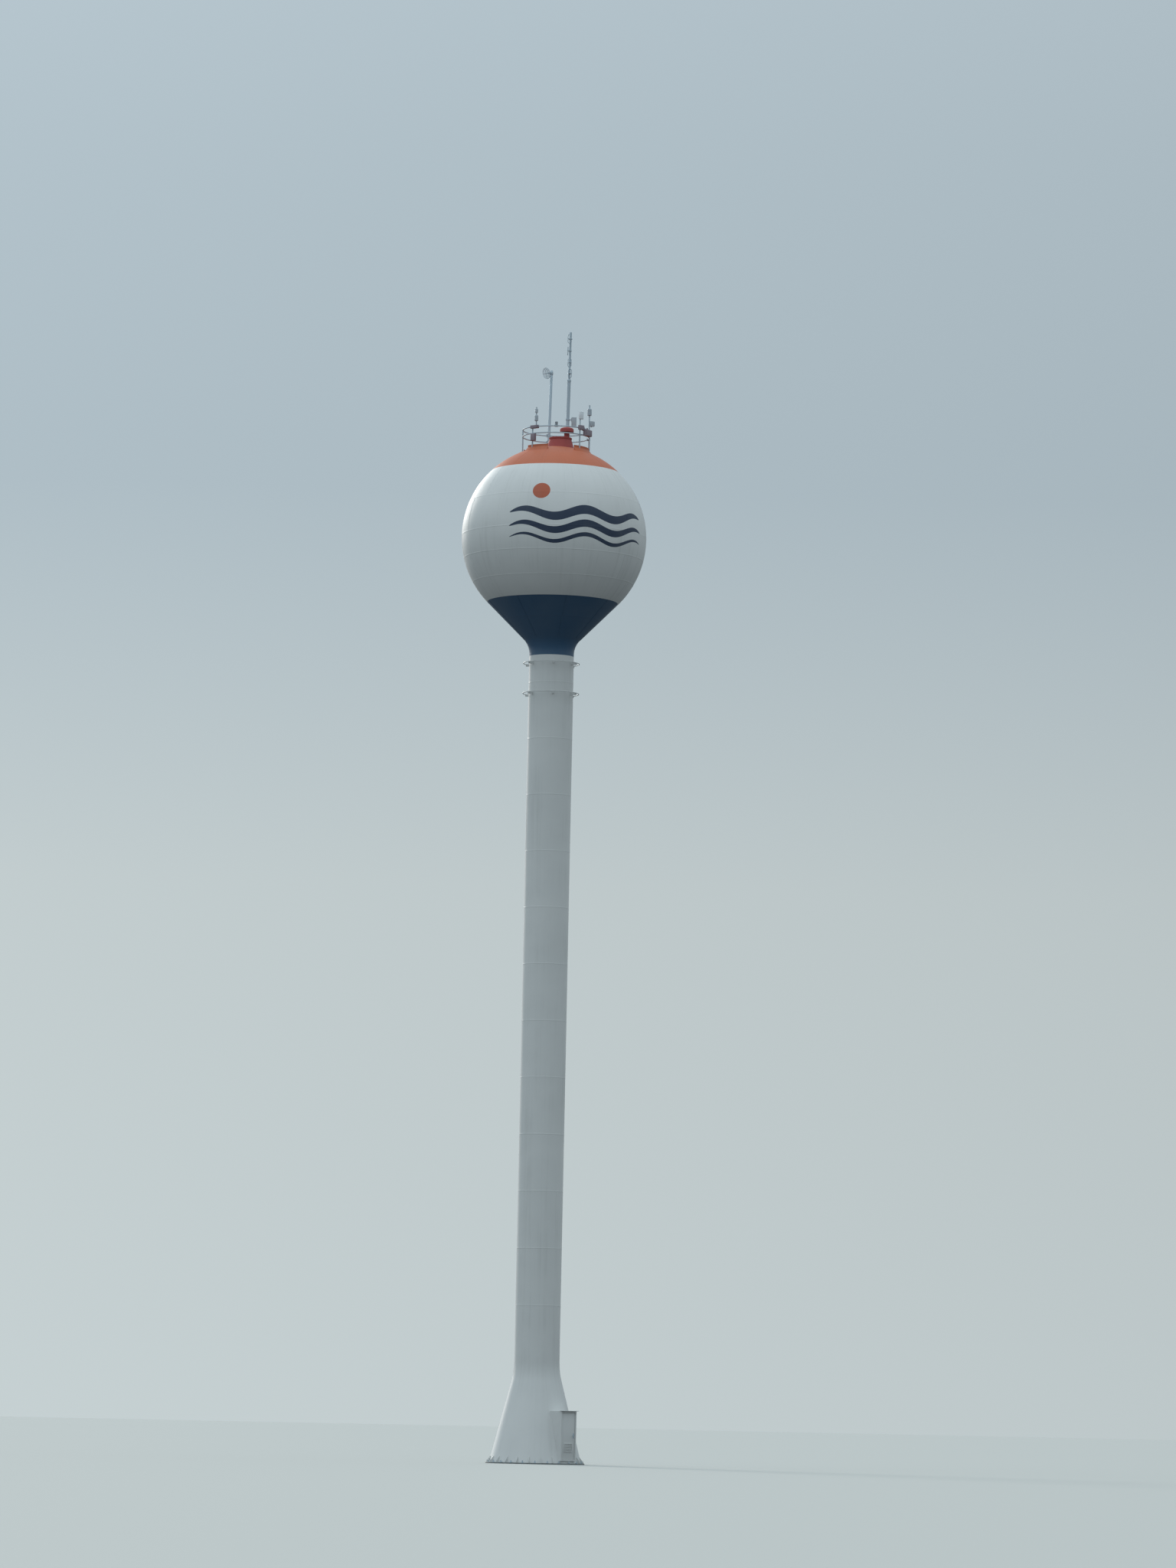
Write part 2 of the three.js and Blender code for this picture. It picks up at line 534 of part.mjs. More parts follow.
function addRailEquipment() {
  addPiece(tank, "left_post_box", railBox(LEFT_BOX).subtract(railRoom), FINISH.dark);
  addPiece(tank, "left_rail_case", railBox(LEFT_CASE).subtract(railRoom), FINISH.dark);
  const leftAerial = uprightAerial({ ...LEFT_AERIAL, foot: LEFT_AERIAL.foot + CLEAR });
  addPiece(tank, "left_aerial", leftAerial, FINISH.pale);

  const lamp = block(LAMP.depth, LAMP.width, LAMP.height, [RAIL_RADIUS, 0, RAIL_TOP])
    .add(rod([RAIL_RADIUS, 0, RAIL_TOP], [RAIL_RADIUS, 0, LAMP.top], LAMP.radius, 12));
  const placed = turned(lamp, THREE.MathUtils.degToRad(LAMP.azimuth));
  addPiece(tank, "rail_lamp", placed.subtract(railRoom), FINISH.grey);

  addPiece(tank, "right_rail_case", railBox(RIGHT_CASE).subtract(railRoom), FINISH.dark);
  const { azimuth } = PANEL;
  const panelPole = rod([RAIL_RADIUS, 0, RIGHT_CASE.high], [RAIL_RADIUS, 0, PANEL.top], PANEL.pole);
  const panel = turned(panelPole, THREE.MathUtils.degToRad(azimuth))
    .add(railBox({ ...PANEL_GRIP, azimuth, out: RAIL_RADIUS }))
    .add(railBox(PANEL));
  addPiece(tank, "panel_aerial", panel.subtract(railRoom).subtract(railBox(RIGHT_CASE, CLEAR)), FINISH.pale);

  let cabinet = block(CABINET.depth, CABINET.width, CABINET.high - CABINET.low,
    [CABINET.out, 0, (CABINET.low + CABINET.high) / 2]);
  for (const side of [-HANGER.side, HANGER.side]) {
    const hanger = block(HANGER.depth, HANGER.width, HANGER.high - HANGER.low,
      [HANGER.out, side, (HANGER.low + HANGER.high) / 2]);
    cabinet = cabinet.add(hanger);
  }
  const hung = turned(cabinet, THREE.MathUtils.degToRad(CABINET.azimuth));
  addPiece(tank, "right_cabinet", hung.subtract(railRoom), FINISH.dark);

  let outer = uprightAerial(OUTER_AERIAL);
  for (const z of [RAIL_TOP, RAIL_MIDDLE]) {
    const heights = { low: z - OUTER_GRIP.half, high: z + OUTER_GRIP.half };
    outer = outer.add(railBox({ ...OUTER_GRIP, ...heights, azimuth: OUTER_AERIAL.azimuth }));
  }
  addPiece(tank, "outer_aerial", outer.subtract(railRoom).subtract(roofRoom), FINISH.zinc);
  const poleRoom = uprightAerial({ ...OUTER_AERIAL, stub: OUTER_AERIAL.stub + CLEAR });
  addPiece(tank, "outer_radio", railBox(OUTER_RADIO).subtract(poleRoom), FINISH.grey);
}

addBase();
addColumn();
addPaintersRails();
addTank();
addPiece(tank, "handrail", handrail(0).subtract(roofRoom), FINISH.zinc);
addTurret();
addMast();
addDish();
addRailEquipment();

export default tower;
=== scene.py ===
# %% [markdown]
# A ball-shaped water tower
# The real thing is a welded steel ball that stands on one slender steel column. The packed
# model already holds every piece in its place, at half the real size. This lesson gives the
# round walls a fine surface, adds the welds, bolts and fittings that a person would see, and
# mixes the paints. It begins by loading that model as a fixed frame.

# %% Load the frame
import math

import bpy
import numpy as np
from mathutils import Matrix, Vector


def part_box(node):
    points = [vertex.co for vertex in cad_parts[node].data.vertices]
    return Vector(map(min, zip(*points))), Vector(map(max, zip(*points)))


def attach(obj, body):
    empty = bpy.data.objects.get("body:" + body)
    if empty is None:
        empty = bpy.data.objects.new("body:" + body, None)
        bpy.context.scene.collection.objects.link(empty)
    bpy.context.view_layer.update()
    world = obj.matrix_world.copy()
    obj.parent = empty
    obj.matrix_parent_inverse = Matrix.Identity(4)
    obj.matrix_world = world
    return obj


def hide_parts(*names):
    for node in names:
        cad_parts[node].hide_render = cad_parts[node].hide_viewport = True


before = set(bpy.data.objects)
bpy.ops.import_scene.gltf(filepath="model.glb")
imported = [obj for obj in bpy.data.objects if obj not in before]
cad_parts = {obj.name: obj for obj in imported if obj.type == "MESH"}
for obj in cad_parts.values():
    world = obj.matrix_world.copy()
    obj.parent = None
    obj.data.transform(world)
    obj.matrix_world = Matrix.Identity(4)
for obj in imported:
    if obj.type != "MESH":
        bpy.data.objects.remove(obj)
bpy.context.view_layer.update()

# %% [markdown]
# Main sizes
# The fine surfaces have to lie where the construction lies, so the sizes that matter are read
# from the frame's boxes. A size that the frame doesn't hold, such as that of a bolt, is written
# in millimetres of the real tower and halved by one function. Heights of things on the tower
# are written in metres of the real tower above the ball's middle.

# %% Main sizes
SCALE = 0.5


def mm(*lengths):
    """Full-size millimetres as lengths on the model: one number, or a tuple of several."""
    sizes = tuple(length / 1000 * SCALE for length in lengths)
    return sizes if len(sizes) > 1 else sizes[0]


def box_of(node):
    """The lowest and highest corner of a CAD node, as arrays."""
    return tuple(np.array(corner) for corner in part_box(node))


def quarters(stem):
    """The names of the four CAD nodes that make one round wall."""
    return [f"{stem}_{quarter}" for quarter in ("front_right", "back_right", "back_left", "front_left")]


ball_low, ball_high = box_of("ball_upper_back_right")
EQUATOR_Z = ball_low[2]
BALL_RADIUS = ball_high[0]
ROOF_LINE_Z = ball_high[2]
BELL_TOP_Z = box_of("ball_lower_back_right")[0][2]
NECK_Z = box_of("neck_flare")[0][2]
COLUMN_RADIUS = box_of("column_course_1")[1][0]
BASE_TOP_Z = box_of("column_course_1")[0][2]
BASE_FOOT_RADIUS = box_of("base_shell_back_right")[1][0]
PLATE_RADIUS, _, PLATE_TOP_Z = box_of("base_plate")[1]
WALL = mm(10)


def above(metres):
    """The height of a point that is so many full-size metres above the ball's middle."""
    return EQUATOR_Z + metres * SCALE


def roof_z(radius):
    """The roof's height at a distance from the axis: the middle's plus sqrt(R^2 - r^2)."""
    return EQUATOR_Z + np.sqrt(BALL_RADIUS ** 2 - radius ** 2)


print("ball radius", round(BALL_RADIUS, 3), "with its middle at", round(EQUATOR_Z, 3))
print("column radius", round(COLUMN_RADIUS, 4), "from", round(BASE_TOP_Z, 3), "to", round(NECK_Z, 3))

# %% [markdown]
# A grid of points becomes a surface
# Nearly every wall here is a function of two numbers: how far round, and how far along a
# profile. numpy works out the whole grid of points at once. Blender could spin a profile with
# its Screw modifier instead, but a grid says its formula openly and welds its own poles. A
# shape in this lesson is a pair: the points, and faces of four corner numbers. A triangle
# repeats its last corner.

# %% Grids, closed and turned outwards
# Points that agree to this many decimals of a metre are one point
WELD_DECIMALS = 7


def close(points, quads):
    """Welds equal points, drops collapsed faces and turns all faces outwards.

    The signed volume is the sum of a . (b x c) / 6 over the triangles of all faces. When it is
    negative, the faces look inwards, and each one is reversed."""
    _, first, number = np.unique(np.round(points, WELD_DECIMALS), axis=0, return_index=True,
                                 return_inverse=True)
    points = points[first]
    quads = number.reshape(-1)[quads]
    for side, shift in enumerate((2, 1, 0, -1)):
        same = quads[:, side] == quads[:, (side + 1) % 4]
        quads[same] = np.roll(quads[same], shift, axis=1)
    a, b, c, d = quads.T
    quads = quads[(a != b) & (b != c) & (c != a) & (a != d)]
    a, b, c, d = (points[corner] for corner in quads.T)
    volume = np.einsum("ij,ij->", a, np.cross(b, c)) + np.einsum("ij,ij->", a, np.cross(c, d))
    if volume < 0:
        quads = quads[:, [2, 1, 0, 3]]
        triangle = quads[:, 0] == quads[:, 3]
        quads[triangle] = quads[triangle][:, [1, 2, 0, 3]]
    return points, quads


def grid(points, wrap_rows=False, wrap_columns=False):
    """A surface over rows and columns of points: point (i, j) joins (i + 1, j), (i + 1, j + 1)
    and (i, j + 1). A wrapped side joins back to its start."""
    rows, columns = points.shape[:2]
    number = np.arange(rows * columns).reshape(rows, columns)
    if wrap_rows:
        number = np.vstack([number, number[:1]])
    if wrap_columns:
        number = np.hstack([number, number[:, :1]])
    corners = [number[:-1, :-1], number[1:, :-1], number[1:, 1:], number[:-1, 1:]]
    return close(points.reshape(-1, 3), np.stack(corners, axis=-1).reshape(-1, 4))


def lathe(profile, sides=96):
    """A profile turned about the Z axis: (r, z) at azimuth a goes to (r cos a, r sin a, z). The
    profile is a closed loop, or it starts and ends on the axis."""
    radius, height = np.asarray(profile, float).T
    azimuth = np.linspace(0, 2 * np.pi, sides, endpoint=False)[:, None]
    points = np.stack([np.cos(azimuth) * radius, np.sin(azimuth) * radius,
                       np.broadcast_to(height, (sides, len(height)))], axis=-1)
    loop = radius[0] > 0 or radius[-1] > 0
    return grid(points, wrap_rows=True, wrap_columns=loop)


ring = lathe([(1.0, 0.0), (1.1, 0.0), (1.1, 0.1), (1.0, 0.1)], sides=8)
print("a test ring has", len(ring[0]), "points and", len(ring[1]), "faces")

# %% [markdown]
# Moving and joining shapes
# A fitting is easiest to draw at the origin or on the +X side, and then to turn about the
# tower's axis. Moving the points themselves, and not an object, keeps every finished object at
# the origin, so a pattern on object coordinates stays where it belongs.

# %% Move, turn, aim and join
def join(*shapes):
    """Several shapes as one: each shape's corner numbers move up past the points before it."""
    starts = np.cumsum([0] + [len(points) for points, _ in shapes[:-1]])
    return (np.vstack([points for points, _ in shapes]),
            np.vstack([quads + start for (_, quads), start in zip(shapes, starts)]))


def move(shape, offset):
    """A shape shifted by an offset."""
    return shape[0] + np.asarray(offset, float), shape[1]


def spin(shape, azimuth):
    """A shape turned about the tower's axis by an azimuth in degrees."""
    c, s = math.cos(math.radians(azimuth)), math.sin(math.radians(azimuth))
    return shape[0] @ np.array([[c, s, 0], [-s, c, 0], [0, 0, 1]]), shape[1]


def aim(shape, direction):
    """A shape whose +Z is turned to a direction. Its +X stays as level as it can."""
    z = np.asarray(direction, float) / np.linalg.norm(direction)
    level = np.cross([0, 0, 1], z)
    x = level / np.linalg.norm(level) if np.linalg.norm(level) > 1e-6 else np.array([1.0, 0, 0])
    return shape[0] @ np.array([x, np.cross(z, x), z]), shape[1]


def around(shape, count, first=0.0):
    """Copies of a shape, evenly spaced about the tower's axis."""
    return join(*(spin(shape, first + 360 * i / count) for i in range(count)))


def on_roof(shape, x, y=0.0, sink=0.0):
    """A shape drawn on the level, turned square to the roof at (x, y) and sunk into it a little."""
    z = roof_z(math.hypot(x, y))
    return move(aim(shape, (x, y, z - EQUATOR_Z)), (x, y, z - sink))


print("a ring of four rings has", len(around(move(ring, (3, 0, 0)), 4)[0]), "points")

# %% [markdown]
# Bars, pipes and blocks
# Most fittings are bent from bar and pipe or folded from plate. A bar is a circle carried along
# a path. A block is a rounded rectangle carried through its height, and drawn in at both ends by
# a quarter circle, so that every edge is round and catches the light as a real edge does.

# %% Bars, pipes and blocks
def rod(start, end, radius, sides=16, rim=0.15):
    """A straight bar with rounded rims: a lathed profile, aimed from start to end."""
    start, end = np.asarray(start, float), np.asarray(end, float)
    length = np.linalg.norm(end - start)
    edge = min(rim * radius, length / 3)
    profile = [(0, 0), (radius - edge, 0), (radius, edge), (radius, length - edge),
               (radius - edge, length), (0, length)]
    return move(aim(lathe(profile, sides), end - start), start)


def hoop(radius, bar, height, sides=120, around_bar=12):
    """A level ring of round bar: a small circle turned about the axis."""
    angle = np.linspace(0, 2 * np.pi, around_bar, endpoint=False)
    return lathe(np.stack([radius + bar * np.cos(angle), height + bar * np.sin(angle)], 1), sides)


def bent_bar(path, radius, normal, sides=10, closed=False):
    """A bar along a path that lies in one plane. Round each point, the circle is
    radius (cos a n + sin a (t x n)), with n the plane's normal and t the path's direction. An
    open bar's ends are drawn in to a point."""
    path, normal = np.asarray(path, float), np.asarray(normal, float)
    if closed:
        ahead = np.roll(path, -1, axis=0) - np.roll(path, 1, axis=0)
        size = np.full(len(path), radius)
    else:
        path = np.vstack([path[:1], path, path[-1:]])
        ahead = np.gradient(path[1:-1], axis=0)
        ahead = np.vstack([ahead[:1], ahead, ahead[-1:]])
        size = np.r_[0.0, np.full(len(path) - 2, radius), 0.0]
    tangent = ahead / np.linalg.norm(ahead, axis=1, keepdims=True)
    side = np.cross(tangent, normal)
    angle = np.linspace(0, 2 * np.pi, sides, endpoint=False)[None, :, None]
    circle = np.cos(angle) * normal + np.sin(angle) * side[:, None, :]
    return grid(path[:, None, :] + size[:, None, None] * circle, closed, True)


def block(size, centre=(0, 0, 0), edge=mm(6), steps=3):
    """A box with round edges. Each corner of a level's outline is an arc about its own corner
    centre. The arc's radius is edge times sin t, and the level lies edge (1 - cos t) in from the
    end, while t runs from 0 to a quarter turn."""
    half = np.asarray(size, float) / 2
    edge = min(edge, 0.9 * half.min())
    t = np.linspace(0, np.pi / 2, steps + 1)
    arc = np.r_[0.0, edge * np.sin(t)]
    level = np.r_[0.0, edge * (1 - np.cos(t))] - half[2]
    arc, level = np.r_[arc, arc[::-1]], np.r_[level, -level[::-1]]
    inner = np.r_[0.0, np.ones(len(arc) - 2), 0.0]
    quarter = np.array([[1, 1], [-1, 1], [-1, -1], [1, -1]])
    angle = np.linspace(0, np.pi / 2, steps + 1)[None, :] + np.arange(4)[:, None] * np.pi / 2
    arms = np.repeat(quarter * (half[:2] - edge), steps + 1, axis=0)
    ways = np.stack([np.cos(angle), np.sin(angle)], -1).reshape(-1, 2)
    flat = inner[:, None, None] * arms[None] + arc[:, None, None] * ways[None]
    height = np.broadcast_to(level[:, None, None], flat.shape[:2] + (1,))
    return move(grid(np.concatenate([flat, height], -1), wrap_columns=True), centre)


def nut(radius, height):
    """A nut or bolt head: a lathed profile of six sides with its corners taken off."""
    cut = 0.12 * radius
    profile = [(0, 0), (radius, 0), (radius, height - cut), (radius - cut, height), (0, height)]
    return lathe(profile, sides=6)


print("a block has", len(block((0.1, 0.1, 0.1))[1]), "faces")

# %% [markdown]
# From shapes to a piece
# One function makes the Blender object, smooths its faces, keeps the edges sharp that turn by
# more than a set angle, lets it ride on the tower, and hides the CAD nodes that it stands for. The
# tower has no joint, so there is one body, called root. A finish is a pair: a material, and the
# name of the imported model's material that it takes the place of; that name is not used here.

# %% Make a piece
SHARP_DEGREES = 38


def mesh_of(name, shape):
    """A mesh from a shape. A face that repeats its last corner becomes a triangle."""
    mesh = bpy.data.meshes.new(name)
    mesh.from_pydata(shape[0].tolist(), [], [q[:3] if q[2] == q[3] else q for q in shape[1].tolist()])
    return mesh


def put(name, data):
    """A new object in the scene, at the origin."""
    obj = bpy.data.objects.new(name, data)
    bpy.context.scene.collection.objects.link(obj)
    return obj


def piece(name, shape, finish, replaces=()):
    """Makes one object from a shape, with its finish, its body and the nodes it stands for."""
    material, slot = finish
    mesh = mesh_of(name, shape)
    mesh.polygons.foreach_set("use_smooth", np.ones(len(mesh.polygons), bool))
    mesh.set_sharp_from_angle(angle=math.radians(SHARP_DEGREES))
    mesh.materials.append(material)
    mesh.update()
    obj = put(name, mesh)
    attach(obj, "root")
    if replaces:
        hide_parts(*replaces)
    size = shape[0].max(0) - shape[0].min(0)
    print(name, "has", len(mesh.polygons), "faces; its size is", np.round(size, 3).tolist())
    return obj


# %% [markdown]
# Nodes without clutter
# A procedural material is a small graph. One function adds a node, fills its settings, and
# links or sets its inputs. Colours are written as sRGB hex, as a colour picker shows them, and
# turned to the linear numbers that the renderer needs.

# %% Helpers for materials
def linear(hex_colour):
    """sRGB hex to linear: c / 12.92 below 0.04045, else ((c + 0.055) / 1.055) to the 2.4."""
    c = np.array([int(hex_colour[i:i + 2], 16) / 255 for i in (1, 3, 5)])
    c = np.where(c <= 0.04045, c / 12.92, ((c + 0.055) / 1.055) ** 2.4)
    return (*c.tolist(), 1.0)


def add(tree, kind, inputs=(), output=0, **settings):
    """Adds a shader node with its settings and links, and returns one of its outputs.

    The inputs are a list in the order of the sockets, or a dictionary by a socket's name or
    number. Each is a number, a colour, or another node's output. A Mix node of colours takes its
    share at 0 and the two colours at 6 and 7, and gives the mixed one at 2."""
    node = tree.nodes.new("ShaderNode" + kind)
    for key, value in settings.items():
        setattr(node, key, value)
    for key, value in inputs.items() if isinstance(inputs, dict) else enumerate(inputs):
        if isinstance(value, bpy.types.NodeSocket):
            tree.links.new(value, node.inputs[key])
        else:
            node.inputs[key].default_value = value
    return node.outputs[output]


def per_metre(full_size_mm):
    """A texture's scale, in features for each metre of the model, from a full-size length."""
    return 1 / mm(full_size_mm)


def new_finish(name):
    """An empty material, the tree to build in, and the sockets of its Principled shader."""
    material = bpy.data.materials.new(name)
    material.use_nodes = True
    return material, material.node_tree, material.node_tree.nodes["Principled BSDF"].inputs


print("white in linear light:", [round(c, 3) for c in linear("#ffffff")[:3]])

# %% [markdown]
# Weathered enamel
# The tower is blasted steel under a polyurethane enamel: a smooth, half-glossy film that chalks
# a little in the sun. Rain draws faint grey runs down it, and broad patches differ a little in
# tone. The runs must follow the wall downwards all round, so their noise reads a direction
# from the axis, which has no seam, and the height, stretched long.

# %% Weathered enamel
ENAMEL_IOR = 1.5
GRIME_SHARE, CHALK_SHARE = 0.14, 0.1
CHALK = "#8f9494"
PATCH_MM, DENT_MM, RUN_WIDTH_MM, RUN_LENGTH_MM = 1800, 1300, 160, 5200
# The noise values between which runs, soiled patches and chalk fade in
RUN_RANGE, SOILED_RANGE, CHALK_RANGE = (0.5, 0.78), (0.35, 0.65), (0.3, 0.7)
SMOOTHER, ROUGHER = 0.04, 0.08
# Real orange peel is under 5 mm wide; it is drawn at 25 mm so that a close view shows it
PEEL_MM = 25


def runs(tree, places, radius):
    """Noise in long vertical runs: it reads (unit direction from the axis) x radius / width,
    with height / length."""
    x, y, z = add(tree, "SeparateXYZ", [places]).node.outputs
    flat = add(tree, "CombineXYZ", [x, y])
    way = add(tree, "VectorMath", [flat], operation="NORMALIZE")
    wide = add(tree, "VectorMath", {0: way, "Scale": radius * per_metre(RUN_WIDTH_MM)}, operation="SCALE")
    tall = add(tree, "Math", [z, per_metre(RUN_LENGTH_MM)], operation="MULTIPLY")
    lift = add(tree, "CombineXYZ", {"Z": tall})
    spot = add(tree, "VectorMath", [wide, lift], operation="ADD")
    return add(tree, "TexNoise", {"Vector": spot, "Scale": 1.0, "Detail": 3.0})


def enamel(name, slot, colour, grime, radius, roughness=0.4, shine=0.5, paint=None):
    """Half-glossy enamel with rain runs, tonal patches and a faint orange peel. The argument
    paint, if given, adds painted shapes: a function from (tree, places, colour) to a colour."""
    material, tree, shader = new_finish(name)
    places = add(tree, "TexCoord", output="Object")
    coat = paint(tree, places, linear(colour)) if paint else linear(colour)
    patch = add(tree, "TexNoise", {"Vector": places, "Scale": per_metre(PATCH_MM), "Detail": 4.0})
    run = add(tree, "MapRange", [runs(tree, places, radius), *RUN_RANGE])
    where = add(tree, "MapRange", [patch, *SOILED_RANGE])
    soiled = add(tree, "Math", [run, where], operation="MULTIPLY")
    share = add(tree, "Math", [soiled, GRIME_SHARE], operation="MULTIPLY")
    tone = add(tree, "MapRange", [patch, *CHALK_RANGE, 0.0, CHALK_SHARE])
    worn = add(tree, "Mix", {0: share, 6: coat, 7: linear(grime)}, 2, data_type="RGBA")
    chalked = add(tree, "Mix", {0: tone, 6: worn, 7: linear(CHALK)}, 2, data_type="RGBA")
    tree.links.new(chalked, shader["Base Color"])
    rough = add(tree, "MapRange", [patch, *CHALK_RANGE, roughness - SMOOTHER, roughness + ROUGHER])
    tree.links.new(rough, shader["Roughness"])
    shader["IOR"].default_value = ENAMEL_IOR
    shader["Specular IOR Level"].default_value = shine
    peel = add(tree, "TexNoise", {"Vector": places, "Scale": per_metre(PEEL_MM)})
    film = add(tree, "Bump", {"Height": peel, "Strength": 0.05, "Distance": mm(4)})
    dents = add(tree, "TexNoise", {"Vector": places, "Scale": per_metre(DENT_MM), "Detail": 1.0})
    wavy = add(tree, "Bump", {"Height": dents, "Strength": 0.25, "Distance": mm(20), "Normal": film})
    tree.links.new(wavy, shader["Normal"])
    return material, slot


# %% [markdown]
# A painted band on the ball
# The ball carries a painted design on its front: here three plain waves under a plain round
# spot, in the navy and orange of the rest of the tower. A stencil could be a texture, but a
# formula is sharper: a wave is every point whose height is near a sine of its azimuth, and the
# spot is every point near its centre.

# %% The painted waves
WAVES_MIDDLE = math.radians(-71)
WAVES_HALF_SPAN = math.radians(48)
WAVE_COUNT = 9
WAVE_ROWS = ((above(0.58), mm(400)), (above(-0.02), mm(320)), (above(-0.5), mm(180)))
WAVE_SWING = mm(170)
SPOT_AZIMUTH = math.radians(-99)
SPOT_RISE, SPOT_RADIUS = mm(1550, 380)
NAVY, ORANGE = "#1b2f4a", "#b8552f"


def waves(tree, places, coat):
    """The waves' and the spot's colours over the coat.

    With t the azimuth from the middle over the half span, a row covers a point when the height
    from the row, less swing x sin(count x azimuth), is under half its thickness times
    sqrt(1 - t^2), which draws the row out to a point at both ends."""
    x, y, z = add(tree, "SeparateXYZ", [places]).node.outputs
    azimuth = add(tree, "Math", [y, x], operation="ARCTAN2")
    from_middle = add(tree, "Math", [azimuth, WAVES_MIDDLE], operation="SUBTRACT")
    t = add(tree, "Math", [from_middle, WAVES_HALF_SPAN], operation="DIVIDE")
    square = add(tree, "Math", [t, t], operation="MULTIPLY")
    rest = add(tree, "Math", [1.0, square], operation="SUBTRACT")
    room = add(tree, "Math", [rest, 0.0], operation="MAXIMUM")
    taper = add(tree, "Math", [room], operation="SQRT")
    turns = add(tree, "Math", [azimuth, WAVE_COUNT], operation="MULTIPLY")
    sine = add(tree, "Math", [turns], operation="SINE")
    swing = add(tree, "Math", [sine, WAVE_SWING], operation="MULTIPLY")
    covered = 0.0
    for height, thickness in WAVE_ROWS:
        from_row = add(tree, "Math", [z, height], operation="SUBTRACT")
        from_wave = add(tree, "Math", [from_row, swing], operation="SUBTRACT")
        off = add(tree, "Math", [from_wave], operation="ABSOLUTE")
        half = add(tree, "Math", [taper, thickness / 2], operation="MULTIPLY")
        row = add(tree, "Math", [off, half], operation="LESS_THAN")
        covered = add(tree, "Math", [row, covered], operation="MAXIMUM")
    reach = math.sqrt(BALL_RADIUS ** 2 - SPOT_RISE ** 2)
    centre = (reach * math.cos(SPOT_AZIMUTH), reach * math.sin(SPOT_AZIMUTH), EQUATOR_Z + SPOT_RISE)
    away = add(tree, "VectorMath", [places, centre], 1, operation="DISTANCE")
    spot = add(tree, "Math", [away, SPOT_RADIUS], operation="LESS_THAN")
    waved = add(tree, "Mix", {0: covered, 6: coat, 7: linear(NAVY)}, 2, data_type="RGBA")
    return add(tree, "Mix", {0: spot, 6: waved, 7: linear(ORANGE)}, 2, data_type="RGBA")


WHITE, GRIME = "#dbdcda", "#6a6a62"
ball_paint = enamel("ball_enamel_white", "white_paint", WHITE, GRIME, BALL_RADIUS, 0.54, paint=waves)
column_paint = enamel("column_enamel_white", "white_paint", WHITE, GRIME, COLUMN_RADIUS)
small_paint = enamel("fittings_enamel_white", "white_paint", WHITE, GRIME, COLUMN_RADIUS, 0.45)
orange_paint = enamel("roof_enamel_orange", "orange_paint", "#c67152", "#4a2c22", BALL_RADIUS, 0.5, 0.12)
navy_paint = enamel("bell_enamel_navy", "navy_paint", "#2f5473", "#4c5257", BALL_RADIUS)
# Painted shade: the turret and the vent take a darker red-brown copy of the roof's orange, which stands
# for that orange paint in shade.
shaded_orange_paint = enamel("turret_enamel_orange_painted_shade", "red_brown_paint", "#a4433f", "#3a2220",
                      COLUMN_RADIUS, 0.7)
print("paints mixed:", [m.name for m in bpy.data.materials if "enamel" in m.name])

# %% [markdown]
# Zinc, radio housings and plastic
# The poles and clamps are hot-dip galvanised: dull zinc with faint crystal spangles. The radio
# housings are powder-coated castings, fine and matt. The radomes are glass fibre reinforced
# plastic with a pale gel coat. None of these is textured from a picture: a Voronoi cell is a
# spangle, and fine noise is a powder coat.

# %% Zinc, powder coat and gel coat
SPANGLE_MM, BLOTCH_MM = 12, 240
SPANGLE_SHARE, SPANGLE_SPREAD = 0.3, 0.07
BLOTCH_RANGE = (0.35, 0.7)


def zinc(name, slot, colour, other, roughness):
    """Galvanised steel: Voronoi cells, 12 mm across, shift the tone and the roughness a little."""
    material, tree, shader = new_finish(name)
    places = add(tree, "TexCoord", output="Object")
    cells = add(tree, "TexVoronoi", {"Vector": places, "Scale": per_metre(SPANGLE_MM)}, "Color")
    tone = add(tree, "SeparateColor", [cells])
    share = add(tree, "MapRange", [tone, 0.0, 1.0, 0.0, SPANGLE_SHARE])
    dull = add(tree, "Mix", {0: share, 6: linear(colour), 7: linear(other)}, 2, data_type="RGBA")
    tree.links.new(dull, shader["Base Color"])
    rough = add(tree, "MapRange", [tone, 0.0, 1.0, roughness - SPANGLE_SPREAD, roughness + SPANGLE_SPREAD])
    tree.links.new(rough, shader["Roughness"])
    shader["Metallic"].default_value = 0.4
    return material, slot


def grained(name, slot, colour, other, grain_mm, roughness, bump):
    """A matt coat or plastic: broad noise shifts the colour, and noise of the coat's grain size
    lifts the surface."""
    material, tree, shader = new_finish(name)
    places = add(tree, "TexCoord", output="Object")
    grain = add(tree, "TexNoise", {"Vector": places, "Scale": per_metre(grain_mm), "Detail": 3.0})
    broad = add(tree, "TexNoise", {"Vector": places, "Scale": per_metre(BLOTCH_MM)})
    share = add(tree, "MapRange", [broad, *BLOTCH_RANGE])
    blotched = add(tree, "Mix", {0: share, 6: linear(colour), 7: linear(other)}, 2, data_type="RGBA")
    tree.links.new(blotched, shader["Base Color"])
    lifted = add(tree, "Bump", {"Height": grain, "Strength": bump, "Distance": mm(2)})
    tree.links.new(lifted, shader["Normal"])
    shader["Roughness"].default_value = roughness
    shader["IOR"].default_value = ENAMEL_IOR
    return material, slot


